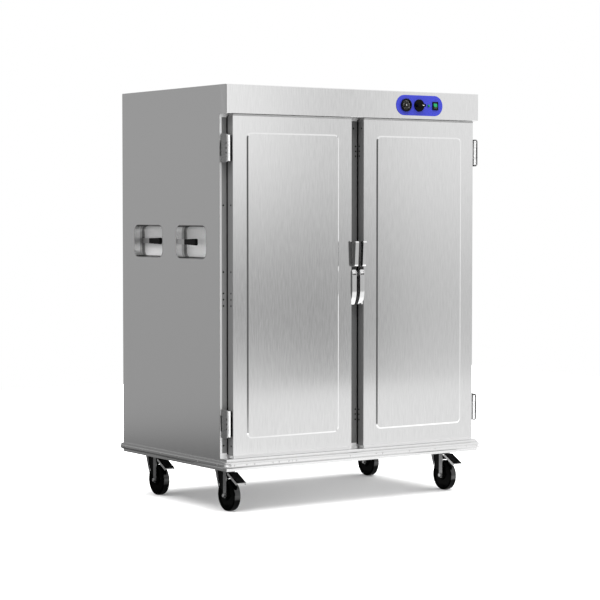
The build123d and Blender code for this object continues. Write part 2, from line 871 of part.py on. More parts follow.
# Keepers on the mullion, each a plate with two ears and a cross pin under the hook
keeper_pin_height = latch_pivot_height - hook_height / 2 - keeper_pin_clearance - keeper_pin_radius
keeper_left = latch_centre - keeper_width / 2
keeper_right = latch_centre + keeper_width / 2
with BuildPart() as latch_keepers:
    slab(
        (keeper_left, cabinet_front - keeper_plate, keeper_pin_height - keeper_height / 2),
        (keeper_right, cabinet_front, keeper_pin_height + keeper_height / 2),
    )
    for ear in (keeper_left, keeper_right - keeper_ear):
        slab(
            (ear, door_front + keeper_pin_depth - 2 * keeper_pin_radius, keeper_pin_height - 2 * keeper_pin_radius),
            (ear + keeper_ear, cabinet_front, keeper_pin_height + 2 * keeper_pin_radius),
        )
    rod(
        (keeper_left, door_front + keeper_pin_depth, keeper_pin_height),
        keeper_pin_radius,
        keeper_width,
        (1, 0, 0),
    )
    mirror(about=Plane.YZ)
save(latch_keepers, "latch_keepers")

# Control plate, thermometer, thermostat, lamp and switch
with BuildPart() as control_plate:
    with BuildSketch(front_plane(door_front)):
        with Locations((plate_centre, plate_height_z)):
            SlotOverall(plate_length, plate_height)
        add(control_openings.sketch_local, mode=Mode.SUBTRACT)
    extrude(amount=plate_thickness)
save(control_plate, "control_plate")

gauge_floor = plate_front - gauge_bezel_height + gauge_dial_depth
with BuildPart() as thermometer_case:
    gauge_at = (gauge_side, door_front + gauge_body_length, plate_height_z)
    rod(gauge_at, gauge_body_radius, gauge_body_length + plate_thickness, (0, -1, 0))
    rod((gauge_side, plate_front, plate_height_z), gauge_bezel_radius, gauge_bezel_height, (0, -1, 0))
    fillet(thermometer_case.faces().sort_by(Axis.Y)[0].edges(), gauge_bezel_rounding)
    rod(
        (gauge_side, gauge_floor, plate_height_z),
        gauge_window_radius,
        gauge_dial_depth,
        (0, -1, 0),
        mode=Mode.SUBTRACT,
    )
    rod((gauge_side, gauge_floor, plate_height_z), gauge_stub_radius, gauge_stub_length, (0, -1, 0))
save(thermometer_case, "thermometer_case")

with BuildPart() as thermometer_needle:
    with BuildSketch(front_plane(gauge_floor - needle_lift)):
        with Locations((gauge_side, plate_height_z)):
            with Locations(Location((0, 0), needle_start_angle)):
                Trapezoid(needle_length, needle_width, needle_taper, align=(Align.MIN, Align.CENTER))
                Rectangle(needle_tail, needle_width, align=(Align.MAX, Align.CENTER))
            Circle(needle_hub_radius)
            Circle(gauge_stub_radius + running_clearance, mode=Mode.SUBTRACT)
    extrude(amount=needle_thickness)
save(thermometer_needle, "thermometer_needle")

lens_back = plate_front - gauge_bezel_height + gauge_lens_setback + gauge_lens_thickness
with BuildPart() as thermometer_lens:
    rod((gauge_side, lens_back, plate_height_z), gauge_window_radius, gauge_lens_thickness, (0, -1, 0))
save(thermometer_lens, "thermometer_lens")

knob_back = plate_front - knob_gap
with BuildPart() as thermostat_knob:
    rod((knob_side, knob_back, plate_height_z), knob_radius, knob_skirt, (0, -1, 0))
    fillet(thermostat_knob.faces().sort_by(Axis.Y)[0].edges(), knob_rounding)
    with BuildSketch(front_plane(knob_back - knob_skirt)):
        with Locations((knob_side, plate_height_z)):
            SlotOverall(knob_grip_length, knob_grip_width)
    extrude(amount=knob_grip_height, taper=knob_grip_taper)
    rod((knob_side, knob_back, plate_height_z), knob_shaft_radius, knob_shaft_length, (0, 1, 0))
save(thermostat_knob, "thermostat_knob")

with BuildPart() as thermostat_body:
    with BuildSketch(front_plane(door_front + skin)):
        with Locations((knob_side, plate_height_z)):
            Rectangle(thermostat_size, thermostat_size)
    extrude(amount=-thermostat_length)
    rod(
        (knob_side, door_front + skin, plate_height_z),
        knob_shaft_radius + running_clearance,
        knob_shaft_length,
        (0, 1, 0),
        mode=Mode.SUBTRACT,
    )
save(thermostat_body, "thermostat_body")

with BuildPart() as pilot_lamp:
    rod((lamp_side, plate_front, plate_height_z), lamp_radius, lamp_body_length, (0, 1, 0))
    rod((lamp_side, plate_front, plate_height_z), lamp_bezel_radius, lamp_bezel_height, (0, -1, 0))
    rod(
        (lamp_side, plate_front - lamp_bezel_height, plate_height_z),
        lamp_radius,
        lamp_dome_height,
        (0, -1, 0),
    )
    fillet(pilot_lamp.faces().sort_by(Axis.Y)[0].edges(), lamp_dome_height / 2)
save(pilot_lamp, "pilot_lamp")

rocker_pivot_y = plate_front - switch_bezel + rocker_setback
with BuildPart() as switch_frame:
    with BuildSketch(front_plane(plate_front)):
        with Locations((switch_side, plate_height_z)):
            RectangleRounded(switch_width, switch_height, switch_bezel)
    extrude(amount=switch_bezel)
    with BuildSketch(front_plane(plate_front)):
        with Locations((switch_side, plate_height_z)):
            Rectangle(switch_body_width, switch_body_height)
    extrude(amount=-switch_body_length)
    with BuildSketch(front_plane(plate_front - switch_bezel)):
        with Locations((switch_side, plate_height_z)):
            Rectangle(
                rocker_width + 2 * rocker_end_clearance,
                2 * rocker_radius + 2 * rocker_end_clearance,
            )
    extrude(amount=-switch_cavity_depth, mode=Mode.SUBTRACT)
    rod(
        (switch_side - switch_body_width / 2, rocker_pivot_y, plate_height_z),
        rocker_pin_radius,
        switch_body_width,
        (1, 0, 0),
    )
save(switch_frame, "switch_frame")

with BuildPart() as switch_rocker:
    with BuildSketch(Plane.YZ.offset(switch_side - rocker_width / 2)):
        with BuildLine():
            ThreePointArc(
                (rocker_pivot_y, plate_height_z - rocker_radius),
                (rocker_pivot_y + rocker_radius, plate_height_z),
                (rocker_pivot_y, plate_height_z + rocker_radius),
            )
            Polyline(
                (rocker_pivot_y, plate_height_z + rocker_radius),
                (rocker_pivot_y - rocker_rise, plate_height_z),
                (rocker_pivot_y - rocker_ridge, plate_height_z - rocker_radius + rocker_ridge),
                (rocker_pivot_y, plate_height_z - rocker_radius),
            )
        make_face()
    extrude(amount=rocker_width)
    rod(
        (switch_side - rocker_width / 2, rocker_pivot_y, plate_height_z),
        rocker_pin_radius + running_clearance,
        rocker_width,
        (1, 0, 0),
        mode=Mode.SUBTRACT,
    )
save(switch_rocker, "switch_rocker")

# Casters: swivel plates under the cross members, then fork, wheel and brake pedal at each corner
corners = {
    "front_left": (-caster_side, caster_front),
    "front_right": (caster_side, caster_front),
    "back_left": (-caster_side, caster_back),
    "back_right": (caster_side, caster_back),
}
plate_bottom = wheel_clearance_height - caster_plate_thickness
with BuildPart() as caster_plate:
    slab(
        (-plate_size_x / 2, -plate_size_y / 2, plate_bottom),
        (plate_size_x / 2, plate_size_y / 2, wheel_clearance_height),
    )
    rod((0, 0, plate_bottom), race_radius, race_height, (0, 0, -1))
    rod((0, 0, plate_bottom), king_pin_radius, plate_bottom - fork_crown_bottom + king_pin_gap, (0, 0, -1))
    rod((0, 0, fork_crown_bottom - king_pin_gap), king_pin_head_radius, king_pin_head, (0, 0, -1))
with BuildPart() as caster_plates:
    with Locations(*[(*corner, 0) for corner in corners.values()]):
        add(caster_plate.part)
save(caster_plates, "caster_plates")

# Fork seen from the side, about the swivel axis: a straight leg to the axle and a curved tongue behind it
axle_y = -caster_trail
leg_outside = fork_inner_width / 2 + fork_leg_thickness
with BuildPart() as fork:
    with BuildSketch(Plane.YZ.offset(-leg_outside)) as leg_outline:
        with BuildLine():
            band_bottom = fork_crown_bottom - fork_band
            tongue_tip = (axle_y + fork_tongue_tip[0], fork_tongue_tip[1])
            Polyline(
                (axle_y + fork_strip_half, axle_height),
                (axle_y + fork_strip_half, band_bottom),
                (axle_y + fork_tongue_root, band_bottom),
            )
            ThreePointArc(
                (axle_y + fork_tongue_root, band_bottom),
                (axle_y + fork_tongue_inside[0], fork_tongue_inside[1]),
                tongue_tip,
            )
            ThreePointArc(
                tongue_tip,
                (axle_y + fork_tongue_bulge[0], fork_tongue_bulge[1]),
                (axle_y + fork_rear, fork_top),
            )
            Polyline(
                (axle_y + fork_rear, fork_top),
                (axle_y - fork_strip_half, fork_top),
                (axle_y - fork_strip_half, axle_height),
            )
            ThreePointArc(
                (axle_y - fork_strip_half, axle_height),
                (axle_y, axle_height - fork_strip_half),
                (axle_y + fork_strip_half, axle_height),
            )
        make_face()
    extrude(amount=fork_leg_thickness)
    with BuildSketch(Plane.YZ.offset(fork_inner_width / 2)):
        add(leg_outline.sketch_local)
    extrude(amount=fork_leg_thickness)
    slab(
        (-leg_outside, axle_y - fork_strip_half, fork_crown_bottom),
        (leg_outside, axle_y + fork_rear, fork_top),
    )
    rod(
        (0, 0, fork_crown_bottom),
        king_pin_radius + running_clearance,
        fork_crown_thickness,
        (0, 0, 1),
        mode=Mode.SUBTRACT,
    )
    rod((-leg_outside, axle_y, axle_height), axle_radius, 2 * leg_outside, (1, 0, 0))
    for side in (-1, 1):
        rod((side * leg_outside, axle_y, axle_height), axle_head_radius, axle_head_height, (side, 0, 0))
    rod(
        (-leg_outside, axle_y + brake_pivot_behind, brake_pivot_height),
        brake_pin_radius,
        2 * leg_outside,
        (1, 0, 0),
    )

# Wheel: one tyre and disc, dished on both sides, turned about its axle
hub_half = fork_inner_width / 2 - hub_side_gap
with BuildPart() as wheel:
    with BuildSketch(Plane.XY) as wheel_section:
        with BuildLine():
            Polyline(
                (-hub_half, axle_radius + running_clearance),
                (-hub_half, hub_radius),
                (-wheel_width / 2 + wheel_dish_depth, hub_radius + wheel_dish_depth),
                (-wheel_width / 2 + wheel_dish_depth, wheel_radius - wheel_rim - wheel_dish_depth),
                (-wheel_width / 2, wheel_radius - wheel_rim),
                (-wheel_width / 2, wheel_radius - wheel_shoulder),
            )
            RadiusArc(
                (-wheel_width / 2, wheel_radius - wheel_shoulder),
                (-wheel_width / 2 + wheel_shoulder, wheel_radius),
                wheel_shoulder,
            )
            Line((-wheel_width / 2 + wheel_shoulder, wheel_radius), (0, wheel_radius))
            Line((0, wheel_radius), (0, axle_radius + running_clearance))
            Line((0, axle_radius + running_clearance), (-hub_half, axle_radius + running_clearance))
        make_face()
        mirror(about=Plane.YZ)
    revolve(axis=Axis.X)

# Brake lever: a shoe block that follows the wheel and a pressed pedal sloping down in front of it
shoe_radius = wheel_radius + brake_shoe_gap
shoe_front_height = axle_height + (shoe_radius**2 - brake_shoe_front**2) ** 0.5
shoe_rear_height = axle_height + (shoe_radius**2 - brake_shoe_rear**2) ** 0.5
pedal_top = Vector(axle_y - pedal_top_reach, pedal_top_height)
pedal_tip = Vector(axle_y - pedal_tip_reach, pedal_tip_height)
pedal_inward = (pedal_tip - pedal_top).normalized().rotate(Axis.Z, 90)
neck_front = axle_y - pedal_neck_reach
with BuildPart() as brake_pedal:
    with BuildSketch(Plane.YZ.offset(-brake_block_width / 2)):
        with BuildLine():
            ThreePointArc(
                (axle_y - brake_shoe_front, shoe_front_height),
                (axle_y, axle_height + shoe_radius),
                (axle_y + brake_shoe_rear, shoe_rear_height),
            )
            Polyline(
                (axle_y + brake_shoe_rear, shoe_rear_height),
                (axle_y + brake_block_rear, brake_block_top),
                (axle_y - brake_shoe_front, brake_block_top),
                (axle_y - brake_shoe_front, shoe_front_height),
            )
        make_face()
    extrude(amount=brake_block_width)
    with BuildSketch(Plane.YZ.offset(-brake_block_width / 2)):
        with BuildLine():
            Polyline(
                (axle_y - brake_shoe_front, pedal_neck_bottom),
                (axle_y - brake_shoe_front, brake_block_top),
                pedal_top + pedal_inward * pedal_sheet / 2,
                pedal_top + (pedal_tip - pedal_top) * pedal_neck_share + pedal_inward * pedal_sheet / 2,
                (neck_front, pedal_neck_bottom),
                close=True,
            )
        make_face()
    extrude(amount=brake_block_width)
    for depth, near, width in (
        (pedal_sheet, -pedal_width / 2, pedal_width),
        (pedal_flange, -pedal_width / 2, pedal_flange_sheet),
        (pedal_flange, pedal_width / 2 - pedal_flange_sheet, pedal_flange_sheet),
    ):
        with BuildSketch(Plane.YZ.offset(near)):
            with BuildLine():
                Polyline(
                    pedal_top,
                    pedal_tip,
                    pedal_tip + pedal_inward * depth,
                    pedal_top + pedal_inward * depth,
                    close=True,
                )
            make_face()
        extrude(amount=width)
    rod(
        (-brake_block_width / 2, axle_y + brake_pivot_behind, brake_pivot_height),
        brake_pin_radius + running_clearance,
        brake_block_width,
        (1, 0, 0),
        mode=Mode.SUBTRACT,
    )

for corner, place in corners.items():
    for name, piece, lift in (("fork", fork, 0), ("wheel", wheel, axle_height), ("brake_pedal", brake_pedal, 0)):
        offset_y = axle_y if name == "wheel" else 0
        with BuildPart() as copy:
            with Locations((place[0], place[1] + offset_y, lift)):
                add(piece.part)
        save(copy, f"{corner}_{name}")
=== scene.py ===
# %% [markdown]
# # Banquet trolley
# A heated two-door trolley in sheet steel, on four braked swivel casters. The packed CAD model is loaded
# as the frame. Its pieces only get materials here: none is moved or reshaped. Items that are too fine for
# the CAD model, such as rivets, screw holes and the strokes of the dial, are added as meshes. Everything
# is in metres, with X to the right along the front, Y to the back and Z up.

# %% Load the frame
import math

import bpy
import numpy as np
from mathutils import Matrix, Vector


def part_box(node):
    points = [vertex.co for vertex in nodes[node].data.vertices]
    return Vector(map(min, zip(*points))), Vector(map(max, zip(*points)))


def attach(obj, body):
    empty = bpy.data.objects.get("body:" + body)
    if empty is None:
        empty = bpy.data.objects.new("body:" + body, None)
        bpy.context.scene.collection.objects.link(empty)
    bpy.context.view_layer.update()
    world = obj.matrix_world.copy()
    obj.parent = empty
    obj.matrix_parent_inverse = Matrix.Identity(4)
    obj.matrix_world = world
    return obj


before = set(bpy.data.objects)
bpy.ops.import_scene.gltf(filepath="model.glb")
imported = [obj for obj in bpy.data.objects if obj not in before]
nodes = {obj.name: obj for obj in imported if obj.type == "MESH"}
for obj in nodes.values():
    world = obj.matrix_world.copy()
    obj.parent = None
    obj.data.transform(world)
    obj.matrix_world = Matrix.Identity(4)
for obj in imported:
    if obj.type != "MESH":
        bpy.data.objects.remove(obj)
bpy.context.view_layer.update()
corners = ("front_left", "front_right", "back_left", "back_right")
print("pieces in the frame:", len(nodes))

# %% [markdown]
# ## Building blocks
# The added pieces are simple: turned shapes such as rivets and nuts, straight-sided blocks and flat
# plates. They could be Blender's own cylinders and cubes, but each of those would need its place applied
# afterwards. Here the points are worked out as whole arrays, already in place, so every object stays at
# the origin. One mesh can hold many copies of a shape.

# %% Mesh helpers
to_front = np.array([0.0, -1.0, 0.0])
to_back = -to_front
to_right = np.array([1.0, 0.0, 0.0])
to_left = -to_right
upwards = np.array([0.0, 0.0, 1.0])


def add_piece(name, shape, body, material, smooth=False):
    """One mesh object from a shape's points and faces, with its material, riding on a body."""
    points, faces = shape
    mesh = bpy.data.meshes.new(name)
    mesh.from_pydata(points.tolist(), [], faces)
    mesh.polygons.foreach_set("use_smooth", np.full(len(mesh.polygons), smooth))
    mesh.update()
    mesh.materials.append(material)
    piece = bpy.data.objects.new(name, mesh)
    bpy.context.scene.collection.objects.link(piece)
    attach(piece, body)


def joined(*shapes):
    """Several shapes as one: all their points in a row, with the faces counted on to match."""
    points = []
    faces = []
    start = 0
    for some_points, some_faces in shapes:
        points.append(some_points)
        faces += [[point + start for point in face] for face in some_faces]
        start += len(some_points)
    return np.concatenate(points), faces


print("directions:", to_front, to_right, upwards)

# %% [markdown]
# A turned shape takes a profile of radius and height and spins it about an axis, as a lathe does.
# Blender's Screw modifier could do it too. A grid of angles and profile points gives the same surface
# with its faces in known order.

# %% Turned shapes
def turned(profile, places, axis, steps):
    """A profile of radius and height turned about a level axis, copied to several places.

    Each point is place + radius * (cos a * across + sin a * upwards) + height * axis. One face closes the
    last ring."""
    rows = len(profile)
    angle = np.linspace(0.0, 2.0 * np.pi, steps, endpoint=False)
    ring = np.cos(angle)[:, None] * np.cross(upwards, axis) + np.sin(angle)[:, None] * upwards
    radius, height = np.asarray(profile, float).T[:, :, None, None]
    one = (radius * ring + height * axis).reshape(-1, 3)
    points = (np.asarray(places, float)[:, None] + one).reshape(-1, 3)
    first = steps * np.arange(rows - 1)[:, None] + np.arange(steps)
    second = steps * np.arange(rows - 1)[:, None] + np.roll(np.arange(steps), -1)
    sides = np.stack([first, second, second + steps, first + steps], axis=-1).reshape(-1, 4)
    cap = steps * (rows - 1) + np.arange(steps)
    starts = rows * steps * np.arange(len(places))
    faces = (sides + starts[:, None, None]).reshape(-1, 4).tolist()
    return points, faces + (cap + starts[:, None]).tolist()


print("faces of a turned pin:", len(turned([(1, 0), (1, 1)], [(0, 0, 0)], to_front, 12)[1]))

# %% [markdown]
# Blocks and plates have flat sides. A block is set out along three directions, so that it can lie on a
# slope. A plate is an outline that is carried sideways and closed at both ends.

# %% Blocks and plates
def blocks(boxes, origin=(0.0, 0.0, 0.0), axes=np.eye(3)):
    """Straight-sided blocks, each given as its low and high corner along three directions.

    Each point is origin + a * first direction + b * second + c * third."""
    ends = np.asarray(boxes, float)
    pick = np.array([[0, 0, 0], [1, 0, 0], [1, 1, 0], [0, 1, 0], [0, 0, 1], [1, 0, 1], [1, 1, 1], [0, 1, 1]])
    local = ends[:, pick, np.arange(3)]
    points = (local @ axes + np.asarray(origin, float)).reshape(-1, 3)
    sides = np.array([[0, 3, 2, 1], [4, 5, 6, 7], [0, 1, 5, 4], [1, 2, 6, 5], [2, 3, 7, 6], [3, 0, 4, 7]])
    starts = len(pick) * np.arange(len(ends))
    return points, (sides + starts[:, None, None]).reshape(-1, 4).tolist()


def plate(outline, low, high):
    """A flat plate: each point of an outline in Y and Z, at X = low and again at X = high."""
    count = len(outline)
    ring = np.arange(count)
    following = np.roll(ring, -1)
    points = np.concatenate([np.column_stack([np.full(count, x), outline]) for x in (low, high)])
    sides = np.stack([ring, following, following + count, ring + count], axis=1)
    return points, sides.tolist() + [ring[::-1].tolist(), (ring + count).tolist()]


print("points of a block:", len(blocks([((0, 0, 0), (1, 1, 1))])[0]))

# %% [markdown]
# ## Sums of nodes
# Steps in a material and the light of the room are sums of math nodes. Each sum could be wired node by
# node. A small class writes them in words instead, and the same words then serve materials, the world and
# the floor.

# %% Node sums
class NodeSums:
    """Sums of math nodes in one node tree. Every value is a socket or a plain number."""

    def __init__(self, tree):
        self.tree = tree

    def node(self, operation, *values):
        """One math node: a number is set on its socket, and a socket is linked to it."""
        node = self.tree.nodes.new("ShaderNodeMath")
        node.operation = operation
        for socket, value in zip(node.inputs, values):
            if isinstance(value, (int, float)):
                socket.default_value = value
            else:
                self.tree.links.new(value, socket)
        return node.outputs[0]

    def plus(self, first, second):
        return self.node("ADD", first, second)

    def minus(self, first, second):
        return self.node("SUBTRACT", first, second)

    def times(self, first, second):
        return self.node("MULTIPLY", first, second)

    def size(self, value):
        return self.node("ABSOLUTE", value)

    def parts(self, source):
        """The three numbers of a texture coordinate."""
        coordinates = self.tree.nodes.new("ShaderNodeTexCoord")
        apart = self.tree.nodes.new("ShaderNodeSeparateXYZ")
        self.tree.links.new(coordinates.outputs[source], apart.inputs[0])
        return apart.outputs

    def ramp(self, value, over, levels=(0.0, 1.0), smooth=True):
        """A value that runs from one level to another while the given one runs over a span."""
        node = self.tree.nodes.new("ShaderNodeMapRange")
        node.interpolation_type = "SMOOTHSTEP" if smooth else "LINEAR"
        for socket, number in zip(node.inputs[1:5], (*over, *levels)):
            socket.default_value = number
        self.tree.links.new(value, node.inputs[0])
        return node.outputs[0]

    def blend(self, value, other, amount):
        """A mix of two values, by an amount from 0 to 1."""
        return self.plus(value, self.times(amount, self.minus(other, value)))


print("kinds of sums:", [name for name in vars(NodeSums) if not name.startswith("_")])

# %% [markdown]
# ## Materials
# Two shared node groups give every material its detail. Brushing makes streaks that run with the grain of
# the sheet: noise read in object coordinates and stretched along Z. Grain makes an even texture for
# plated metal, moulded plastic and rubber, as a value and as a bumped normal. Pictures of real metal
# could do this, but noise has no seams and needs no files.

# %% Shared node groups
def new_group(name, inputs, outputs):
    """A node group with number inputs, and outputs given as name and kind."""
    group = bpy.data.node_groups.new(name, "ShaderNodeTree")
    for socket in inputs:
        group.interface.new_socket(socket, in_out="INPUT", socket_type="NodeSocketFloat")
    for socket, kind in outputs:
        group.interface.new_socket(socket, in_out="OUTPUT", socket_type=kind)
    return group, group.nodes.new("NodeGroupInput"), group.nodes.new("NodeGroupOutput")


def brushing_group():
    """A streak value from 0 to 1 that changes quickly across the grain and slowly along Z."""
    group, given, result = new_group("Brushing", ("Fineness",), (("Streak", "NodeSocketFloat"),))
    coordinates = group.nodes.new("ShaderNodeTexCoord")
    stretch = group.nodes.new("ShaderNodeVectorMath")
    stretch.operation = "MULTIPLY"
    along_grain = 0.08
    stretch.inputs[1].default_value = (1.0, 1.0, along_grain)
    noise = group.nodes.new("ShaderNodeTexNoise")
    noise.inputs["Detail"].default_value = 3.0
    group.links.new(coordinates.outputs["Object"], stretch.inputs[0])
    group.links.new(stretch.outputs[0], noise.inputs["Vector"])
    group.links.new(given.outputs["Fineness"], noise.inputs["Scale"])
    group.links.new(noise.outputs["Fac"], result.inputs["Streak"])
    return group


def grain_group():
    """An even noise value from 0 to 1, and a normal bumped by it to a depth in metres."""
    outputs = (("Value", "NodeSocketFloat"), ("Normal", "NodeSocketVector"))
    group, given, result = new_group("Grain", ("Fineness", "Depth"), outputs)
    coordinates = group.nodes.new("ShaderNodeTexCoord")
    noise = group.nodes.new("ShaderNodeTexNoise")
    noise.inputs["Detail"].default_value = 4.0
    bump = group.nodes.new("ShaderNodeBump")
    group.links.new(coordinates.outputs["Object"], noise.inputs["Vector"])
    group.links.new(given.outputs["Fineness"], noise.inputs["Scale"])
    group.links.new(noise.outputs["Fac"], bump.inputs["Height"])
    group.links.new(given.outputs["Depth"], bump.inputs["Distance"])
    group.links.new(noise.outputs["Fac"], result.inputs["Value"])
    group.links.new(bump.outputs["Normal"], result.inputs["Normal"])
    return group


brushing = brushing_group()
grain = grain_group()
print("node groups:", len(bpy.data.node_groups))

# %% [markdown]
# A material starts from a colour, a metallic value and a roughness. The value of its group lightens and
# darkens the colour and changes the roughness a little, so no finish is one flat colour.

# %% Material helpers
def new_material(name):
    """An empty material with its node tree and its Principled shader."""
    material = bpy.data.materials.new(name)
    material.use_nodes = True
    tree = material.node_tree
    return material, tree, tree.nodes["Principled BSDF"]


def scaled(tree, colour, amount):
    """A colour, plain or from a socket, times an amount."""
    node = tree.nodes.new("ShaderNodeVectorMath")
    node.operation = "SCALE"
    if isinstance(colour, tuple):
        node.inputs[0].default_value = colour
    else:
        tree.links.new(colour, node.inputs[0])
    tree.links.new(amount, node.inputs["Scale"])
    return node.outputs["Vector"]


def varied(name, colour, metallic, roughness, group, fineness, shade):
    """A material whose colour and roughness follow the middle of a shared group's first output."""
    material, tree, shader = new_material(name)
    shader.inputs["Metallic"].default_value = metallic
    texture = tree.nodes.new("ShaderNodeGroup")
    texture.node_tree = group
    texture.inputs["Fineness"].default_value = fineness
    sums = NodeSums(tree)
    noise = texture.outputs[0]
    noise_span = (0.3, 0.7)
    wear_levels = (roughness * 0.9, roughness * 1.1)
    tint = sums.ramp(noise, noise_span, (1.0 - shade, 1.0 + shade), smooth=False)
    wear = sums.ramp(noise, noise_span, wear_levels, smooth=False)
    tree.links.new(scaled(tree, colour, tint), shader.inputs["Base Color"])
    tree.links.new(wear, shader.inputs["Roughness"])
    return material, tree, shader, texture


print("finishes so far:", len(bpy.data.materials))

# %% [markdown]
# Three kinds of finish come from it: brushed sheet with streaks, plated metal with an even grain, and
# moulded plastic, rubber or paint. A piece can also change in steps along an axis, such as the dark lower
# half of the rocker. Such a piece could be cut into two materials by its faces, but the frame's faces
# stay as they are, so its place decides.

# %% Kinds of finish
def grey(tone):
    """A grey colour."""
    return (tone, tone, tone)


def brushed(name, tone, roughness, shade, fineness=260.0):
    """Grey sheet metal with vertical streaks."""
    return varied(name, grey(tone), 1.0, roughness, brushing, fineness, shade)[0]


def moulded(name, colour, roughness, shine=0.5, fineness=900.0, depth=0.00004, shade=0.08, metallic=0.0):
    """Plastic, rubber or paint with an even grain."""
    material, tree, shader, texture = varied(name, colour, metallic, roughness, grain, fineness, shade)
    texture.inputs["Depth"].default_value = depth
    shader.inputs["Specular IOR Level"].default_value = shine
    tree.links.new(texture.outputs["Normal"], shader.inputs["Normal"])
    return material


def plated(name, tone, roughness, fineness, depth, shade):
    """Smooth or plated grey metal with an even grain."""
    return moulded(name, grey(tone), roughness, 0.5, fineness, depth, shade, metallic=1.0)


def stepped(material, name, source, axis, limits, levels, both_sides=False):
    """Let one shader input change in steps along a coordinate.

    source is a texture coordinate and axis one of its three numbers, or its size with both_sides. levels
    has one value more than limits. A base colour is multiplied by the levels. Any other input takes them
    as they are."""
    tree = material.node_tree
    target = tree.nodes["Principled BSDF"].inputs[name]
    sums = NodeSums(tree)
    place = sums.parts(source)[axis]
    if both_sides:
        place = sums.size(place)
    result = levels[0]
    for limit, below, above in zip(limits, levels, levels[1:]):
        passed = sums.node("GREATER_THAN", place, limit)
        result = sums.node("MULTIPLY_ADD", passed, above - below, result)
    if name == "Base Color":
        result = scaled(tree, target.links[0].from_socket, result)
    tree.links.new(result, target)


print("groups in use:", brushing.name, grain.name)

# %% [markdown]
# Sheet metal is brushed, finely on the doors and more evenly on the cabinet. The bumper rail is smooth,
# with painted shade on its lower half. The handle cups are smooth on their walls and matt on their floors,
# with painted shade in the bend between and on their top and bottom walls. Brushing is thousands of fine
# scratches. They could be modelled as grooves, but streaks in colour and roughness give the same shimmer.

# %% Sheet metal
steel = brushed("cabinet steel", tone=0.78, roughness=0.22, shade=0.01)
door_steel = brushed("door steel", tone=0.78, roughness=0.10, shade=0.04)
inner_steel = brushed("bay steel", tone=0.70, roughness=0.35, shade=0.03)
chassis_steel = brushed("chassis steel", tone=0.80, roughness=0.24, shade=0.02, fineness=180.0)

bumper_rail = plated("bumper rail", tone=0.78, roughness=0.2, fineness=300.0, depth=0.00001, shade=0.02)
rail_shade_edge = 0.1925
# Painted shade: the rail is painted darker below this height.
stepped(bumper_rail, "Base Color", "Object", "Z", (rail_shade_edge,), (0.62, 1.0))

cup_steel = plated("cup steel", tone=0.92, roughness=0.3, fineness=240.0, depth=0.00001, shade=0.03)
cup_floor = 0.5765
cup_bend_shade = (cup_floor, 0.5800, 0.590, 0.600)
cup_wall_shade_limits = (1.0000, 1.1195)
# Painted shade: the cups are painted darker in the bend between floor and wall, and on their top and bottom
# walls.
stepped(cup_steel, "Base Color", "Object", "X", cup_bend_shade, (1.0, 0.45, 0.25, 0.6, 1.0), both_sides=True)
stepped(cup_steel, "Metallic", "Object", "X", (cup_floor,), (0.1, 1.0), both_sides=True)
stepped(cup_steel, "Base Color", "Object", "Z", cup_wall_shade_limits, (0.25, 1.0, 0.25))

tang_steel = plated("tang steel", tone=0.62, roughness=0.3, fineness=500.0, depth=0.00001, shade=0.04)
print("finishes so far:", len(bpy.data.materials))

# %% [markdown]
# The casters are zinc plated, with a coarse spangle. The hinge plates are grey, with a painted highlight:
# their barrels are painted white and not metallic, and the door leaves behind them have painted shade. The
# latches are chromed, and each lever has painted shade, black at its neck and darker on its face. Plating
# could be plain bright metal, but a little grain keeps it from looking like a mirror.

# %% Plated metal
zinc = plated("zinc plate", tone=0.36, roughness=0.32, fineness=140.0, depth=0.00002, shade=0.15)
bright_zinc = plated("bright zinc", tone=0.80, roughness=0.3, fineness=140.0, depth=0.00002, shade=0.10)

hinge_alloy_and_highlight = plated("hinge alloy and barrel highlight", tone=0.92, roughness=0.28, fineness=400.0, depth=0.00001, shade=0.05)
# Painted highlight: inside this distance from the middle the hinge barrel is painted white and not metallic,
# for the bright reflection of a polished barrel.
barrel_highlight_edge = 0.6160
stepped(hinge_alloy_and_highlight, "Base Color", "Object", "X", (barrel_highlight_edge,), (1.0, 0.43), both_sides=True)
stepped(hinge_alloy_and_highlight, "Metallic", "Object", "X", (barrel_highlight_edge,), (0.0, 1.0), both_sides=True)
knuckle_painted_light = moulded("hinge knuckle", grey(0.92), 0.28, fineness=400.0, depth=0.00001, shade=0.05)
# Painted shade and highlight: inside this distance the door leaves are painted nearly black where they lie
# in shade behind the barrel, and white outside it for the barrel's bright reflection.
knuckle_shade_edge = 0.6040
stepped(knuckle_painted_light, "Base Color", "Object", "X", (knuckle_shade_edge,), (0.003, 1.0), both_sides=True)

chrome = plated("latch chrome", tone=0.90, roughness=0.10, fineness=300.0, depth=0.000004, shade=0.02)
lever_chrome = plated("lever chrome", tone=0.90, roughness=0.10, fineness=300.0, depth=0.000004, shade=0.02)
# Painted shade: each lever is painted black at its neck, which lies in shade between the cheeks, and darker
# on its face between the bright foot and top.
lever_neck_shade = (0.9465, 0.9595)
lever_shade_steps = (*lever_neck_shade, 0.9680, 1.0560)
stepped(lever_chrome, "Base Color", "Object", "Z", lever_shade_steps, (1.0, 0.003, 1.0, 0.68, 1.0))
stepped(lever_chrome, "Metallic", "Object", "Z", lever_neck_shade, (1.0, 0.0, 1.0))
print("finishes so far:", len(bpy.data.materials))

# %% [markdown]
# The frame round the doors is grey plastic, with painted shade on the mullion, and a pale border that is
# painted lighter below the lower hinge and above the upper one, as painted light. The pale and grey strips
# that paint light into the door gaps, the grips and the gaskets are moulded. The wheels are dull on their
# sides and shiny on their treads. Each could have nodes of its own, but they differ only in tone, shine
# and grain, so one helper makes them all.

# %% Plastic, rubber and paint
border_white = moulded("border white", grey(0.90), 0.4, depth=0.00003, shade=0.02)
border_light_heights = (0.355, 1.445)
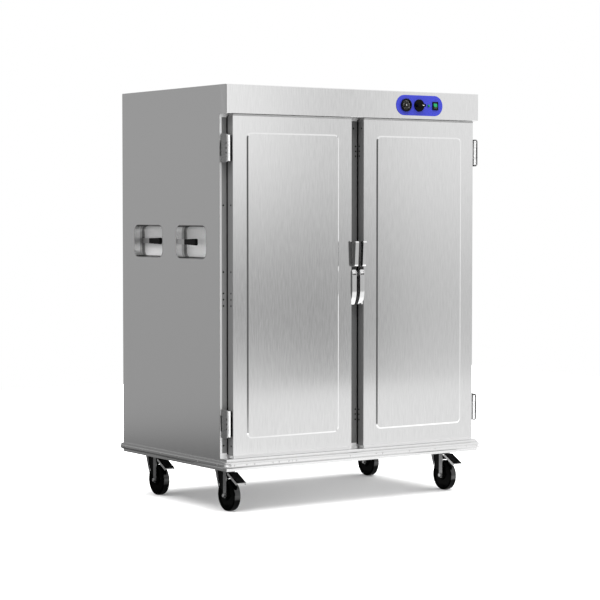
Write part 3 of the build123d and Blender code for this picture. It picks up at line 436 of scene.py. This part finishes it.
# Painted light: the border is painted lighter below the lower hinge and above the upper one than between
# them.
stepped(border_white, "Base Color", "Object", "Z", border_light_heights, (1.0, 0.66, 1.0))
# Painted light: a pale and a grey finish for strips that light up the gaps below and above the doors.
gap_light_white = moulded("gap light white", grey(0.52), 0.5, shine=0.3, depth=0.00003, shade=0.03)
gap_light_grey = moulded("gap light grey", grey(0.30), 0.5, shine=0.3, depth=0.00003, shade=0.03)
edge_alloy = moulded("door edge", grey(0.17), 0.4)
frame_plastic = moulded("frame plastic", grey(0.22), 0.45)
mullion_shade_reach = 0.1
# Painted shade: the frame is painted darker within this distance of the middle, on the mullion between the
# doors.
stepped(frame_plastic, "Base Color", "Object", "X", (mullion_shade_reach,), (0.75, 1.0), both_sides=True)
grip_plastic = moulded("grip plastic", grey(0.002), 0.25, shine=0.1)
black_rubber = moulded("black rubber", grey(0.003), 0.6, shine=0.1)
black_paint = moulded("black paint", grey(0.0015), 0.4, shine=0.06)
tyre_rubber = moulded("wheel rubber", grey(0.0008), 0.12, shine=0.05, fineness=500.0, depth=0.00001)
side_facing = 0.45
stepped(tyre_rubber, "Specular IOR Level", "Normal", "X", (side_facing,), (0.8, 0.02), both_sides=True)
foam = moulded("foam", (0.80, 0.74, 0.55), 0.9, shine=0.2, fineness=350.0, depth=0.0008, shade=0.15)
# Painted shade: near black for discs and slots that stand for the shaded inside of holes and gaps.
hole_shade = moulded("hole shade", grey(0.002), 0.8, shine=0.0)
print("finishes so far:", len(bpy.data.materials))

# %% [markdown]
# The controls sit on a blue plate: a black thermometer and knob, a green pilot lamp, and a rocker that is
# green above and nearly black below. The lens of the thermometer is almost clear. The rocker could be
# painted face by face, but a step at its middle colours both halves.

# %% Controls
black_plastic = moulded("black plastic", grey(0.003), 0.2, shine=0.12)
knob_plastic = moulded("knob plastic", grey(0.002), 0.15, shine=0.1, depth=0.00001)
plate_blue = moulded("plate blue", (0.043, 0.055, 0.52), 0.35, shine=0.3, depth=0.00002, shade=0.03)
lamp_green = moulded("lamp green", (0.0, 0.20, 0.08), 0.25, fineness=600.0, depth=0.00001)
rocker_green = moulded("rocker green", (0.0, 0.32, 0.12), 0.2, fineness=600.0, depth=0.00001)
rocker_middle = 1.6115
stepped(rocker_green, "Base Color", "Object", "Z", (rocker_middle,), (0.03, 1.0))
dial_grey = moulded("dial grey", grey(0.016), 0.5)
mark_white = moulded("mark white", grey(0.90), 0.4, depth=0.00001, shade=0.03)
lens_glass = moulded("lens", grey(0.02), 0.05, fineness=300.0, depth=0.000002, shade=0.0)
lens_glass.node_tree.nodes["Principled BSDF"].inputs["Alpha"].default_value = 0.1
print("finishes in all:", len(bpy.data.materials))

# %% [markdown]
# ## Giving every piece of the frame its material
# One table says which finish goes on which pieces, so that a missing piece is easy to see in the count.

# %% Assign materials
finishes = {
    steel: ("left_side_panel", "right_side_panel", "back_panel", "top_panel", "latch_keepers", "hinge_pins"),
    chassis_steel: ("base_frame",),
    cup_steel: ("handle_cups",),
    tang_steel: ("handle_tangs",),
    inner_steel: ("left_liner", "right_liner", "bay_runners", "heater_covers", "heater_elements",
                  "left_door_inner_skin", "right_door_inner_skin"),
    door_steel: ("left_door_outer_skin", "right_door_outer_skin", "header_fascia"),
    zinc: tuple(f"{corner}_fork" for corner in corners),
    hinge_alloy_and_highlight: ("hinge_frame_leaves",),
    knuckle_painted_light: ("left_hinge_door_leaves", "right_hinge_door_leaves"),
    chrome: ("left_latch_housing", "right_latch_housing"),
    lever_chrome: ("left_latch_lever", "right_latch_lever"),
    border_white: ("front_strips",),
    edge_alloy: ("left_door_edge_frame", "right_door_edge_frame"),
    frame_plastic: ("front_frame",),
    bumper_rail: ("bumper",),
    grip_plastic: ("handle_grips",),
    black_rubber: ("left_door_gasket", "right_door_gasket"),
    black_paint: ("thermometer_needle", "caster_plates", *(f"{corner}_brake_pedal" for corner in corners)),
    black_plastic: ("thermometer_case", "thermostat_body", "switch_frame", "power_inlet"),
    knob_plastic: ("thermostat_knob",),
    tyre_rubber: tuple(f"{corner}_wheel" for corner in corners),
    plate_blue: ("control_plate",),
    lamp_green: ("pilot_lamp",),
    rocker_green: ("switch_rocker",),
    foam: ("insulation", "left_door_core", "right_door_core"),
    lens_glass: ("thermometer_lens",),
}
for material, names in finishes.items():
    for name in names:
        nodes[name].data.materials.clear()
        nodes[name].data.materials.append(material)
print("pieces painted:", sum(len(names) for names in finishes.values()), "of", len(nodes))

# %% [markdown]
# ## Small pieces on the brakes
# Each pedal has a ribbed tread, a bright flange down both sides and a bright lip. They could be modelled
# flat and turned into place. Setting them out along the slope of the pedal keeps their places in the
# mesh: the first direction runs across, the second down the slope and the third out of its face.

# %% Pedal treads and flanges
pedal_rise = 0.0925
pedal_reach = 0.024
pedal_run = np.array([0.0, -0.066, -0.036])
pedal_length = np.linalg.norm(pedal_run)
down_slope = pedal_run / pedal_length
pedal_axes = np.array([to_right, down_slope, np.cross(to_right, -down_slope)])
rib_half = 0.019
rib_width = 0.0035
rib_height = 0.0013
rib_pitch = 0.0065
first_rib = 0.008
last_rib = pedal_length - 0.006
rib_starts = np.arange(first_rib, last_rib, rib_pitch)
ribs = [((-rib_half, start, 0.0), (rib_half, start + rib_width, rib_height)) for start in rib_starts]
flange_inside = 0.0220
flange_outside = 0.0226
flange_drop = 0.009
flange_start = 0.001
flanges = [
    ((-flange_outside, flange_start, -flange_drop), (-flange_inside, pedal_length, 0.0)),
    ((flange_inside, flange_start, -flange_drop), (flange_outside, pedal_length, 0.0)),
]
lip_end = pedal_length + 0.0012
lip_drop = 0.004
lip_rise = 0.0008
lip = ((-flange_outside, pedal_length, -lip_drop), (flange_outside, lip_end, lip_rise))
axles = {corner: np.mean(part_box(f"{corner}_wheel"), axis=0) for corner in corners}
for corner in corners:
    top = axles[corner] + np.array([0.0, -pedal_reach, pedal_rise])
    body = f"{corner}_brake_pedal"
    add_piece(f"{corner}_tread", blocks(ribs, top, pedal_axes), body, black_paint)
    add_piece(f"{corner}_flanges", blocks([*flanges, lip], top, pedal_axes), body, bright_zinc)
print("ribs on each pedal:", len(rib_starts))

# %% [markdown]
# A black plate inside the left leg of each fork, beside the wheel, and a thin black cover over the crown
# above it are painted shade: they darken the inside of the fork, which lies in shade. Both are plates whose
# outline is given in Y from the axle and in Z from the floor. They could be bent sheet, but flat plates are
# all that shows between the legs.

# %% Fork shade plates
shade_plate_outline = np.array(
    [(0.0105, 0.146), (0.0105, 0.083), (0.030, 0.083), (0.0435, 0.090), (0.0475, 0.112), (0.0495, 0.146)]
)
shade_cover_outline = np.array([(0.0115, 0.156), (0.0115, 0.143), (0.0495, 0.143), (0.0500, 0.156)])
shade_plate_sides = np.array([-0.0186, -0.0176])
shade_cover_sides = np.array([-0.0227, -0.0221])
# Painted shade: each fork gets a black plate and a black cover where its inside lies in shade.
for corner in corners:
    axle = axles[corner]
    from_axle = np.array([axle[1], 0.0])
    guard = plate(shade_plate_outline + from_axle, *(axle[0] + shade_plate_sides))
    shade_cover = plate(shade_cover_outline + from_axle, *(axle[0] + shade_cover_sides))
    add_piece(f"{corner}_guard", joined(guard, shade_cover), f"{corner}_fork", black_paint)
print("guards:", len(corners))

# %% [markdown]
# ## Rivets and joints of the bumper rail
# The rail is held by low rivets at uneven distances and has two butt joints in front. A rivet is a turned
# dome. A bump in the material could hint at it, but a dome also shows in outline. A joint is a thin dark
# block.

# %% Bumper rivets
rivet_radius = 0.0032
rivet_steps = 12
dome = [
    (rivet_radius, 0.0),
    (rivet_radius * 0.9, 0.0007),
    (rivet_radius * 0.55, 0.0013),
    (rivet_radius * 0.1, 0.0015),
]
rail_low, rail_high = np.array(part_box("bumper"))
rail_level = (rail_low[2] + rail_high[2]) / 2
front_rivets = np.array([-599, -542, -506, -420, -391, -345, -309, -46, 84, 117, 253, 387, 553, 610]) / 1000
side_rivets = np.linspace(-0.36, 0.37, 6)
rail_rivets = joined(
    turned(dome, [(x, rail_low[1], rail_level) for x in front_rivets], to_front, rivet_steps),
    turned(dome, [(x, rail_high[1], rail_level) for x in front_rivets], to_back, rivet_steps),
    turned(dome, [(rail_low[0], y, rail_level) for y in side_rivets], to_left, rivet_steps),
    turned(dome, [(rail_high[0], y, rail_level) for y in side_rivets], to_right, rivet_steps),
)
add_piece("bumper_rivets", rail_rivets, "cabinet", tang_steel, smooth=True)
joint_size = np.array([0.0006, 0.0, 0.004])
joint_places = [np.array([x, rail_low[1], rail_level]) for x in (-0.329, 0.114)]
joint_front = np.array([0.0, 0.0002, 0.0])
joint_back = np.array([0.0, 0.001, 0.0])
joints = [(place - joint_size - joint_front, place + joint_size + joint_back) for place in joint_places]
add_piece("bumper_joints", blocks(joints), "cabinet", edge_alloy)
print("rail rivets:", 2 * len(front_rivets) + 2 * len(side_rivets))

# %% [markdown]
# ## Rivets on the back
# The back panel is riveted round its edge, and the power inlet is held by four screws. Both use the same
# dome. They could be copies of one object, but a single mesh keeps the list of pieces short.

# %% Back rivets and inlet screws
panel_low, panel_high = np.array(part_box("back_panel"))
rivet_inset = 0.02
edge_x = np.linspace(panel_low[0] + rivet_inset, panel_high[0] - rivet_inset, 9)
edge_z = np.linspace(panel_low[2] + rivet_inset, panel_high[2] - rivet_inset, 10)
back_places = [(x, panel_high[1], z) for x in edge_x for z in (edge_z[0], edge_z[-1])]
back_places += [(x, panel_high[1], z) for z in edge_z[1:-1] for x in (edge_x[0], edge_x[-1])]
back_rivets = turned(dome, back_places, to_back, rivet_steps)
add_piece("back_rivets", back_rivets, "cabinet", tang_steel, smooth=True)
inlet_low, inlet_high = np.array(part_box("power_inlet"))
screw_inset = 0.007
inlet_places = [
    (x, inlet_high[1], z)
    for x in (inlet_low[0] + screw_inset, inlet_high[0] - screw_inset)
    for z in (inlet_low[2] + screw_inset, inlet_high[2] - screw_inset)
]
inlet_screws = turned(dome, inlet_places, to_back, rivet_steps)
add_piece("inlet_screws", inlet_screws, "cabinet", tang_steel, smooth=True)
print("rivets and screws on the back:", len(back_places) + len(inlet_places))

# %% [markdown]
# ## Screw holes
# The frame and the edges of the doors have rows of small holes. They could be cut, but they are too small
# to look into: a flat dark disc that stands a tenth of a millimetre off the surface is painted shade for
# the dark inside of a hole, looks the same and leaves the frame whole.

# %% Screw holes
hole_radius = 0.0036
disc_height = 0.0001
disc = [(hole_radius, 0.0), (hole_radius, disc_height)]
disc_steps = 12
hinge_side_levels = (0.2686, 0.8143, 0.8386, 0.8629, 0.946, 1.205)
latch_side_levels = (1.4444, 1.4242, 1.4048, 0.3762, 0.3566, 0.3348)
frame_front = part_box("front_frame")[0][1]
hinge_side = 0.608
latch_side = 0.0247
mullion_top_hole = (0.0133, frame_front, 1.5165)
mullion_left_hole = (-latch_side, frame_front, latch_side_levels[1])
frame_holes = [(latch_side, frame_front, z) for z in latch_side_levels]
frame_holes += [mullion_top_hole, mullion_left_hole]
frame_holes += [(side * hinge_side, frame_front, z) for side in (-1, 1) for z in hinge_side_levels]
add_piece("frame_holes", turned(disc, frame_holes, to_front, disc_steps), "cabinet", hole_shade)
free_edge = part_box("right_door_edge_frame")[0][0]
hinge_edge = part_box("left_door_edge_frame")[0][0]
free_hole_y = -0.3724
hinge_hole_y = -0.3880
top_hole_y = -0.3875
top_hole_z = 1.5157
for side, body in ((1, "right_door"), (-1, "left_door")):
    free_holes = [(side * free_edge, free_hole_y, z) for z in latch_side_levels]
    free_holes += [(side * free_edge, top_hole_y, top_hole_z)]
    hinge_holes = [(-side * hinge_edge, hinge_hole_y, z) for z in hinge_side_levels]
    holes = joined(
        turned(disc, free_holes, side * to_left, disc_steps),
        turned(disc, hinge_holes, side * to_right, disc_steps),
    )
    add_piece(f"{body}_edge_holes", holes, body, hole_shade)
print("holes in the frame:", len(frame_holes), "and in each door:", len(free_holes) + len(hinge_holes))

# %% [markdown]
# ## Marks on the hinges
# Each hinge plate on the frame shows three dark screws and a dark slot along its rear edge, as discs and
# thin blocks of painted shade: the shade in the sunk screws and in the gap behind the plate. Sunk screws
# could be cut, but at this size only their dark shape shows.

# %% Hinge marks
leaf_low, leaf_high = np.array(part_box("hinge_frame_leaves"))
hinge_half = 0.056
hinge_levels = (leaf_low[2] + hinge_half, leaf_high[2] - hinge_half)
screw_y = -0.3990
screw_steps = (-0.019, 0.0, 0.019)
slot_front = -0.3625
slot_back = -0.3548
slot_half = 0.031
hinge_dots = []
hinge_slots = []
for face, outwards in ((leaf_low[0], to_left), (leaf_high[0], to_right)):
    places = [(face, screw_y, level + step) for level in hinge_levels for step in screw_steps]
    hinge_dots.append(turned(disc, places, outwards, disc_steps))
    inner_x, outer_x = sorted((face, face + outwards[0] * disc_height))
    slots = [
        ((inner_x, slot_front, level - slot_half), (outer_x, slot_back, level + slot_half))
        for level in hinge_levels
    ]
    hinge_slots.append(blocks(slots))
add_piece("hinge_dots", joined(*hinge_dots, *hinge_slots), "cabinet", hole_shade)
print("hinges:", 2 * len(hinge_levels))

# %% [markdown]
# ## Axle nuts
# Each axle ends in a hexagon nut on both sides of its fork. A profile turned in only six steps is a
# hexagon. It could be a bevelled cylinder, but the profile gives the end of the bolt as well.

# %% Axle nuts
hexagon = 6
nut_radius = 0.0082
bolt_radius = 0.0035
nut_height = 0.0052
bolt_height = 0.0046
nut = [
    (nut_radius, 0.0),
    (nut_radius, 0.004),
    (0.0068, nut_height),
    (bolt_radius, nut_height),
    (bolt_radius, bolt_height),
    (0.0002, bolt_height),
]
for corner in corners:
    fork_low, fork_high = np.array(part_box(f"{corner}_fork"))
    axle = axles[corner]
    nuts = joined(
        turned(nut, [(fork_low[0], axle[1], axle[2])], to_left, hexagon),
        turned(nut, [(fork_high[0], axle[1], axle[2])], to_right, hexagon),
    )
    add_piece(f"{corner}_axle_nuts", nuts, f"{corner}_fork", tang_steel)
print("axle nuts:", 2 * len(corners))

# %% [markdown]
# ## Strips of painted light in the door gaps
# A pale strip along the bottom edge of each door nearly reaches the ledge, and a grey one along the top
# edge nearly reaches the header: they paint light into the gaps below and above the doors, which would
# lie in shade. Both sit just behind the front of the door. Plain blocks do, because only their edges show.

# %% Door strips
strip_setback = 0.0012
strip_depth = 0.033
strip_clearance = 0.0015
strip_inset = 0.001
ledge_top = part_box("base_frame")[1][2]
header_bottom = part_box("header_fascia")[0][2]
for body in ("left_door", "right_door"):
    skin_low, skin_high = np.array(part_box(f"{body}_outer_skin"))
    ends = (skin_low[0] + strip_inset, skin_high[0] - strip_inset)
    depths = (skin_low[1] + strip_setback, skin_low[1] + strip_setback + strip_depth)
    # Painted light: the pale bottom strip and the grey top strip light up the shaded gaps below and above
    # each door.
    for name, levels, material in (
        ("bottom_strip", (ledge_top + strip_clearance, skin_low[2]), gap_light_white),
        ("top_strip", (skin_high[2], header_bottom - strip_clearance), gap_light_grey),
    ):
        strip = np.array([ends, depths, levels]).T
        add_piece(f"{body}_{name}", blocks([strip]), body, material)
print("gap above the doors:", round(header_bottom - skin_high[2], 4))
print("gap below the doors:", round(skin_low[2] - ledge_top, 4))

# %% [markdown]
# ## Rims of the handle cups
# A dark line runs round each cup where its edge meets the side panel. It is a flat band between two
# rounded rectangles, which follows the corners better than a thin tube would.

# %% Cup rims
def rounded_outline(length, height, radius, steps=8):
    """Points round a rounded rectangle.

    Each point is a corner's centre + radius * (cos a, sin a), with a over that corner's quarter turn."""
    quarter = np.arange(4)[:, None]
    angle = np.linspace(0.0, np.pi / 2, steps) + quarter * np.pi / 2
    signs = np.array([(1, 1), (-1, 1), (-1, -1), (1, -1)])
    centres = signs * np.array([length / 2 - radius, height / 2 - radius])
    return (centres[:, None] + radius * np.stack([np.cos(angle), np.sin(angle)], axis=-1)).reshape(-1, 2)


def band(inner, outer, x):
    """A flat band at one X, between two outlines in Y and Z with equal numbers of points."""
    count = len(inner)
    ring = np.arange(count)
    following = np.roll(ring, -1)
    points = np.column_stack([np.full(2 * count, x), np.concatenate([inner, outer])])
    return points, np.stack([ring, following, following + count, ring + count], axis=1).tolist()


cups_low, cups_high = np.array(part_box("handle_cups"))
cup_length = 0.231
cup_height = 0.133
cup_level = (cups_low[2] + cups_high[2]) / 2
rim_x = 0.62515
rim_inside = 0.0026
rim_outside = 0.0012
rim_inner = rounded_outline(cup_length - rim_inside, cup_height - rim_inside, radius=0.0287)
rim_outer = rounded_outline(cup_length + rim_outside, cup_height + rim_outside, radius=0.0306)
rims = []
for side in (-1, 1):
    for cup_y in (cups_low[1] + cup_length / 2, cups_high[1] - cup_length / 2):
        middle = np.array([cup_y, cup_level])
        rims.append(band(rim_inner + middle, rim_outer + middle, side * rim_x))
add_piece("cup_rims", joined(*rims), "cabinet", edge_alloy)
print("cup rims:", len(rims))

# %% [markdown]
# ## Marks on the controls
# The thermometer gets a grey dial with pale strokes and a pale cap on its needle, and the knob gets a
# pale pointer line. The strokes are small blocks set out along spokes: they stay sharp where a painted
# pattern would blur.

# %% Dial
control_level = np.mean(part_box("control_plate"), axis=0)[2]
gauge_x = np.mean(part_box("thermometer_case"), axis=0)[0]
dial_y = -0.4085
dial_middle = (gauge_x, dial_y, control_level)
dial_radius = 0.0198
dial_height = 0.00015
dial_steps = 40
dial_profile = [(dial_radius, 0.0), (dial_radius, dial_height)]
add_piece("dial", turned(dial_profile, [dial_middle], to_front, dial_steps), "cabinet", dial_grey)
stroke_count = 13
stroke_angles = np.radians(215.0 - np.linspace(0.0, 250.0, stroke_count))
stroke_half = 0.0005
long_stroke = 0.0135
short_stroke = 0.0155
stroke_end = 0.0185
stroke_base = 0.0002
stroke_top = 0.0004
strokes = []
for step, angle in enumerate(stroke_angles):
    outwards = np.array([math.cos(angle), 0.0, math.sin(angle)])
    across = np.array([-math.sin(angle), 0.0, math.cos(angle)])
    stroke_start = long_stroke if step % 3 == 0 else short_stroke
    stroke = ((stroke_start, stroke_base, -stroke_half), (stroke_end, stroke_top, stroke_half))
    strokes.append(blocks([stroke], dial_middle, np.array([outwards, to_front, across])))
add_piece("dial_strokes", joined(*strokes), "cabinet", mark_white)
print("dial strokes:", len(strokes))

# %% [markdown]
# The cap rides on the needle and the pointer on the knob, so that both turn with them. They could be
# painted on as colour, but a small raised mesh stays crisp.

# %% Needle cap and knob pointer
cap_profile = [(0.0026, 0.0), (0.0022, 0.0006), (0.0001, 0.0007)]
cap_y = -0.4106
cap_steps = 20
cap = turned(cap_profile, [(gauge_x, cap_y, control_level)], to_front, cap_steps)
add_piece("needle_cap", cap, "thermometer_needle", mark_white, smooth=True)
knob_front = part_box("thermostat_knob")[0][1]
knob_x = np.mean(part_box("thermostat_knob"), axis=0)[0]
pointer_half = 0.001
pointer_depth = 0.0002
pointer_start = 0.003
pointer_end = 0.012
# The pale pointer line is partly a painted highlight: besides the knob's index line, it stands for the
# bright glint near the right end of the grip.
pointer = (
    (knob_x + pointer_start, knob_front - pointer_depth, control_level - pointer_half),
    (knob_x + pointer_end, knob_front + pointer_depth, control_level + pointer_half),
)
add_piece("knob_pointer", blocks([pointer]), "thermostat_knob", mark_white)
print("controls stand at a height of", round(float(control_level), 4))

# %% [markdown]
# ## Camera
# The camera stands to the left of the trolley at about the height of its handles, far off with a long
# lens, so that upright edges stay nearly parallel. A closer camera with a short lens would make them
# lean.

# %% Camera
camera_data = bpy.data.cameras.new("camera")
camera_data.sensor_width = 36.0
camera_data.lens = 120.12
camera = bpy.data.objects.new("camera", camera_data)
camera.location = (-4.736, -6.950, 1.185)
camera_tilt = 2.56
camera_heading = 34.235
camera.rotation_euler = (math.radians(90.0 - camera_tilt), 0.0, math.radians(-camera_heading))
bpy.context.scene.collection.objects.link(camera)
bpy.context.scene.camera = camera
bpy.context.scene.view_settings.view_transform = "Standard"
print("camera lens:", camera_data.lens)

# %% [markdown]
# ## Room light
# Polished sheet shows its surroundings, so the room is what gives the doors their look. It could be a set
# of lit cards. Sums over the direction of a ray do the same without objects. Straight off the doors the
# camera sees the right front side of the room, which has a darker band at eye level and shows as the grey
# middle of the doors. The room is darker to the front left, grey to the back left and white to the right
# and above.

# %% Room light
world = bpy.data.worlds.new("room")
bpy.context.scene.world = world
world.use_nodes = True
world_nodes = world.node_tree.nodes
world_links = world.node_tree.links
world_nodes.clear()
sums = NodeSums(world.node_tree)
view_east = 0.563
view_north = 0.826
east, north, up = sums.parts("Generated")
ahead = sums.minus(sums.times(east, view_east), sums.times(north, view_north))
sideways = sums.plus(sums.times(east, view_north), sums.times(north, view_east))
band_depth = 0.056
from_band = sums.plus(up, band_depth)
above_band = sums.ramp(from_band, over=(0.0, 0.10))
below_band = sums.ramp(sums.times(from_band, -1.0), over=(0.0, 0.055), levels=(0.0, 0.9))
darkest = sums.ramp(sideways, over=(-0.03, 0.08), levels=(0.41, 0.65))
lightest = sums.ramp(sideways, over=(-0.03, 0.08), levels=(1.05, 0.95))
room = sums.blend(darkest, lightest, sums.plus(above_band, below_band))
fold_place = 0.0175
from_fold = sums.size(sums.minus(sideways, fold_place))
room = sums.times(room, sums.ramp(from_fold, over=(0.0, 0.05), levels=(0.71, 1.0)))
dark_left = 0.14
white_right = 1.25
ceiling = 1.05
room = sums.blend(room, dark_left, sums.ramp(sums.times(sideways, -1.0), over=(0.12, 0.50)))
room = sums.blend(room, white_right, sums.ramp(sideways, over=(0.15, 0.60)))
room = sums.blend(room, ceiling, sums.ramp(up, over=(0.35, 0.60)))
low_back = sums.ramp(up, over=(-0.06, 0.02), levels=(0.37, 0.41))
back_light = sums.times(low_back, sums.ramp(up, over=(0.05, 0.35), levels=(1.0, 0.6)))
room_light = sums.blend(room, back_light, sums.ramp(sums.times(ahead, -1.0), over=(0.0, 0.5)))
print("nodes in the room light:", len(world_nodes))

# %% [markdown]
# A soft fill from all round reaches dull surfaces only, so that plastic and paint don't sink into the
# dark side. The camera itself sees plain white behind the trolley. A lamp could give the fill, but it
# would brighten the floor and wash out the shadow.

# %% World
path = world_nodes.new("ShaderNodeLightPath")
fill_level = 0.85
filled = sums.node("MAXIMUM", room_light, fill_level)
room_light = sums.blend(room_light, filled, path.outputs["Is Diffuse Ray"])
background = world_nodes.new("ShaderNodeBackground")
background.inputs["Color"].default_value = (1.0, 1.0, 1.0, 1.0)
world_links.new(room_light, background.inputs["Strength"])
white = world_nodes.new("ShaderNodeBackground")
white.inputs["Color"].default_value = (1.0, 1.0, 1.0, 1.0)
white.inputs["Strength"].default_value = 1.0
choose = world_nodes.new("ShaderNodeMixShader")
output = world_nodes.new("ShaderNodeOutputWorld")
world_links.new(path.outputs["Is Camera Ray"], choose.inputs[0])
world_links.new(background.outputs[0], choose.inputs[1])
world_links.new(white.outputs[0], choose.inputs[2])
world_links.new(choose.outputs[0], output.inputs["Surface"])
print("nodes in the world:", len(world_nodes))

# %% [markdown]
# ## Floor
# The floor is white to the camera. To every other ray it glows, like the room: more at the right front
# than at the back left, less to the front left, and hardly at all round the wheels. One more patch lies
# to the far left. This is what the lower parts mirror. Lamps near the floor could light it so, but they
# would light the trolley too.

# %% Floor light
floor_material, floor_tree, floor_shader = new_material("floor")
sums = NodeSums(floor_tree)
floor_x, floor_y = sums.parts("Object")[:2]
eastwards = sums.times(floor_x, view_east)
northwards = sums.times(floor_y, view_north)
along_room = sums.minus(eastwards, northwards)
across_room = sums.plus(eastwards, northwards)
far_back = sums.ramp(along_room, over=(-3.4, -1.9), levels=(0.38, 0.15))
rise = sums.ramp(along_room, over=(-0.9, 0.9), levels=(0.0, 0.78))
beside_trolley = sums.times(rise, sums.ramp(along_room, over=(0.9, 2.2), levels=(0.7, 0.0)))
floor_light = sums.plus(far_back, sums.plus(rise, beside_trolley))
left_slant = 0.75
left_loss = 0.75
right_gain = 0.45
leftwards = sums.plus(across_room, sums.times(along_room, left_slant))
left_front = sums.times(sums.ramp(leftwards, over=(-0.6, -0.1), levels=(1.0, 0.0)), left_loss)
right_front = sums.times(sums.ramp(across_room, over=(-0.4, 0.1)), right_gain)
in_front = sums.ramp(along_room, over=(0.6, 1.2))
floor_light = sums.plus(floor_light, sums.times(in_front, sums.minus(right_front, left_front)))
corner_span = sums.times(
    sums.ramp(along_room, over=(-1.3, -0.7)),
    sums.ramp(along_room, over=(0.5, 1.2), levels=(1.0, 0.0)),
)
corner_patch = sums.times(sums.ramp(across_room, over=(-1.9, -1.4), levels=(0.45, 0.0)), corner_span)
floor_light = sums.plus(floor_light, corner_patch)
for corner in corners:
    axle = axles[corner]
    beside = sums.size(sums.minus(floor_x, float(axle[0])))
    before = sums.size(sums.minus(floor_y, float(axle[1])))
    dim_across = sums.ramp(beside, over=(0.08, 0.14), levels=(0.9, 0.0))
    dim_along = sums.ramp(before, over=(0.11, 0.17), levels=(1.0, 0.0))
    dim = sums.times(dim_across, dim_along)
    floor_light = sums.times(floor_light, sums.minus(1.0, dim))
print("nodes in the floor light:", len(floor_tree.nodes))

# %% [markdown]
# The floor itself is one large square. It takes the shadow of the trolley for the camera and belongs to
# the stage, not to the object. A curved backdrop could stand behind it, but the white world already looks
# the same.

# %% Floor
floor_shader.inputs["Base Color"].default_value = (0.90, 0.90, 0.90, 1.0)
floor_shader.inputs["Roughness"].default_value = 1.0
floor_shader.inputs["Specular IOR Level"].default_value = 0.0
floor_shader.inputs["Emission Color"].default_value = (1.0, 1.0, 1.0, 1.0)
floor_shader.inputs["Emission Strength"].default_value = 0.05
glow = floor_tree.nodes.new("ShaderNodeEmission")
seen = floor_tree.nodes.new("ShaderNodeLightPath")
either = floor_tree.nodes.new("ShaderNodeMixShader")
floor_tree.links.new(floor_light, glow.inputs["Strength"])
floor_tree.links.new(seen.outputs["Is Camera Ray"], either.inputs[0])
floor_tree.links.new(glow.outputs[0], either.inputs[1])
floor_tree.links.new(floor_shader.outputs[0], either.inputs[2])
floor_tree.links.new(either.outputs[0], floor_tree.nodes["Material Output"].inputs["Surface"])
half = 5.0
floor_points = [(-half, -half, 0), (half, -half, 0), (half, half, 0), (-half, half, 0)]
floor_mesh = bpy.data.meshes.new("floor")
floor_mesh.from_pydata(floor_points, [], [(0, 1, 2, 3)])
floor_mesh.materials.append(floor_material)
floor = bpy.data.objects.new("floor", floor_mesh)
bpy.context.scene.collection.objects.link(floor)
print("floor is", 2 * half, "metres wide")

# %% [markdown]
# ## Lamp
# One broad light overhead makes the soft shadow on the floor. A square area lamp could do it, but a sun
# with a wide angle is even over the whole floor. Polished parts mirror the room but not the lamp.

# %% Lamp
lamp_data = bpy.data.lights.new("overhead", "SUN")
lamp_data.energy = 6.6
lamp_data.angle = math.radians(85.0)
lamp = bpy.data.objects.new("overhead", lamp_data)
lamp.visible_glossy = False
bpy.context.scene.collection.objects.link(lamp)
print("lamp energy:", round(lamp_data.energy, 2))

# %% [markdown]
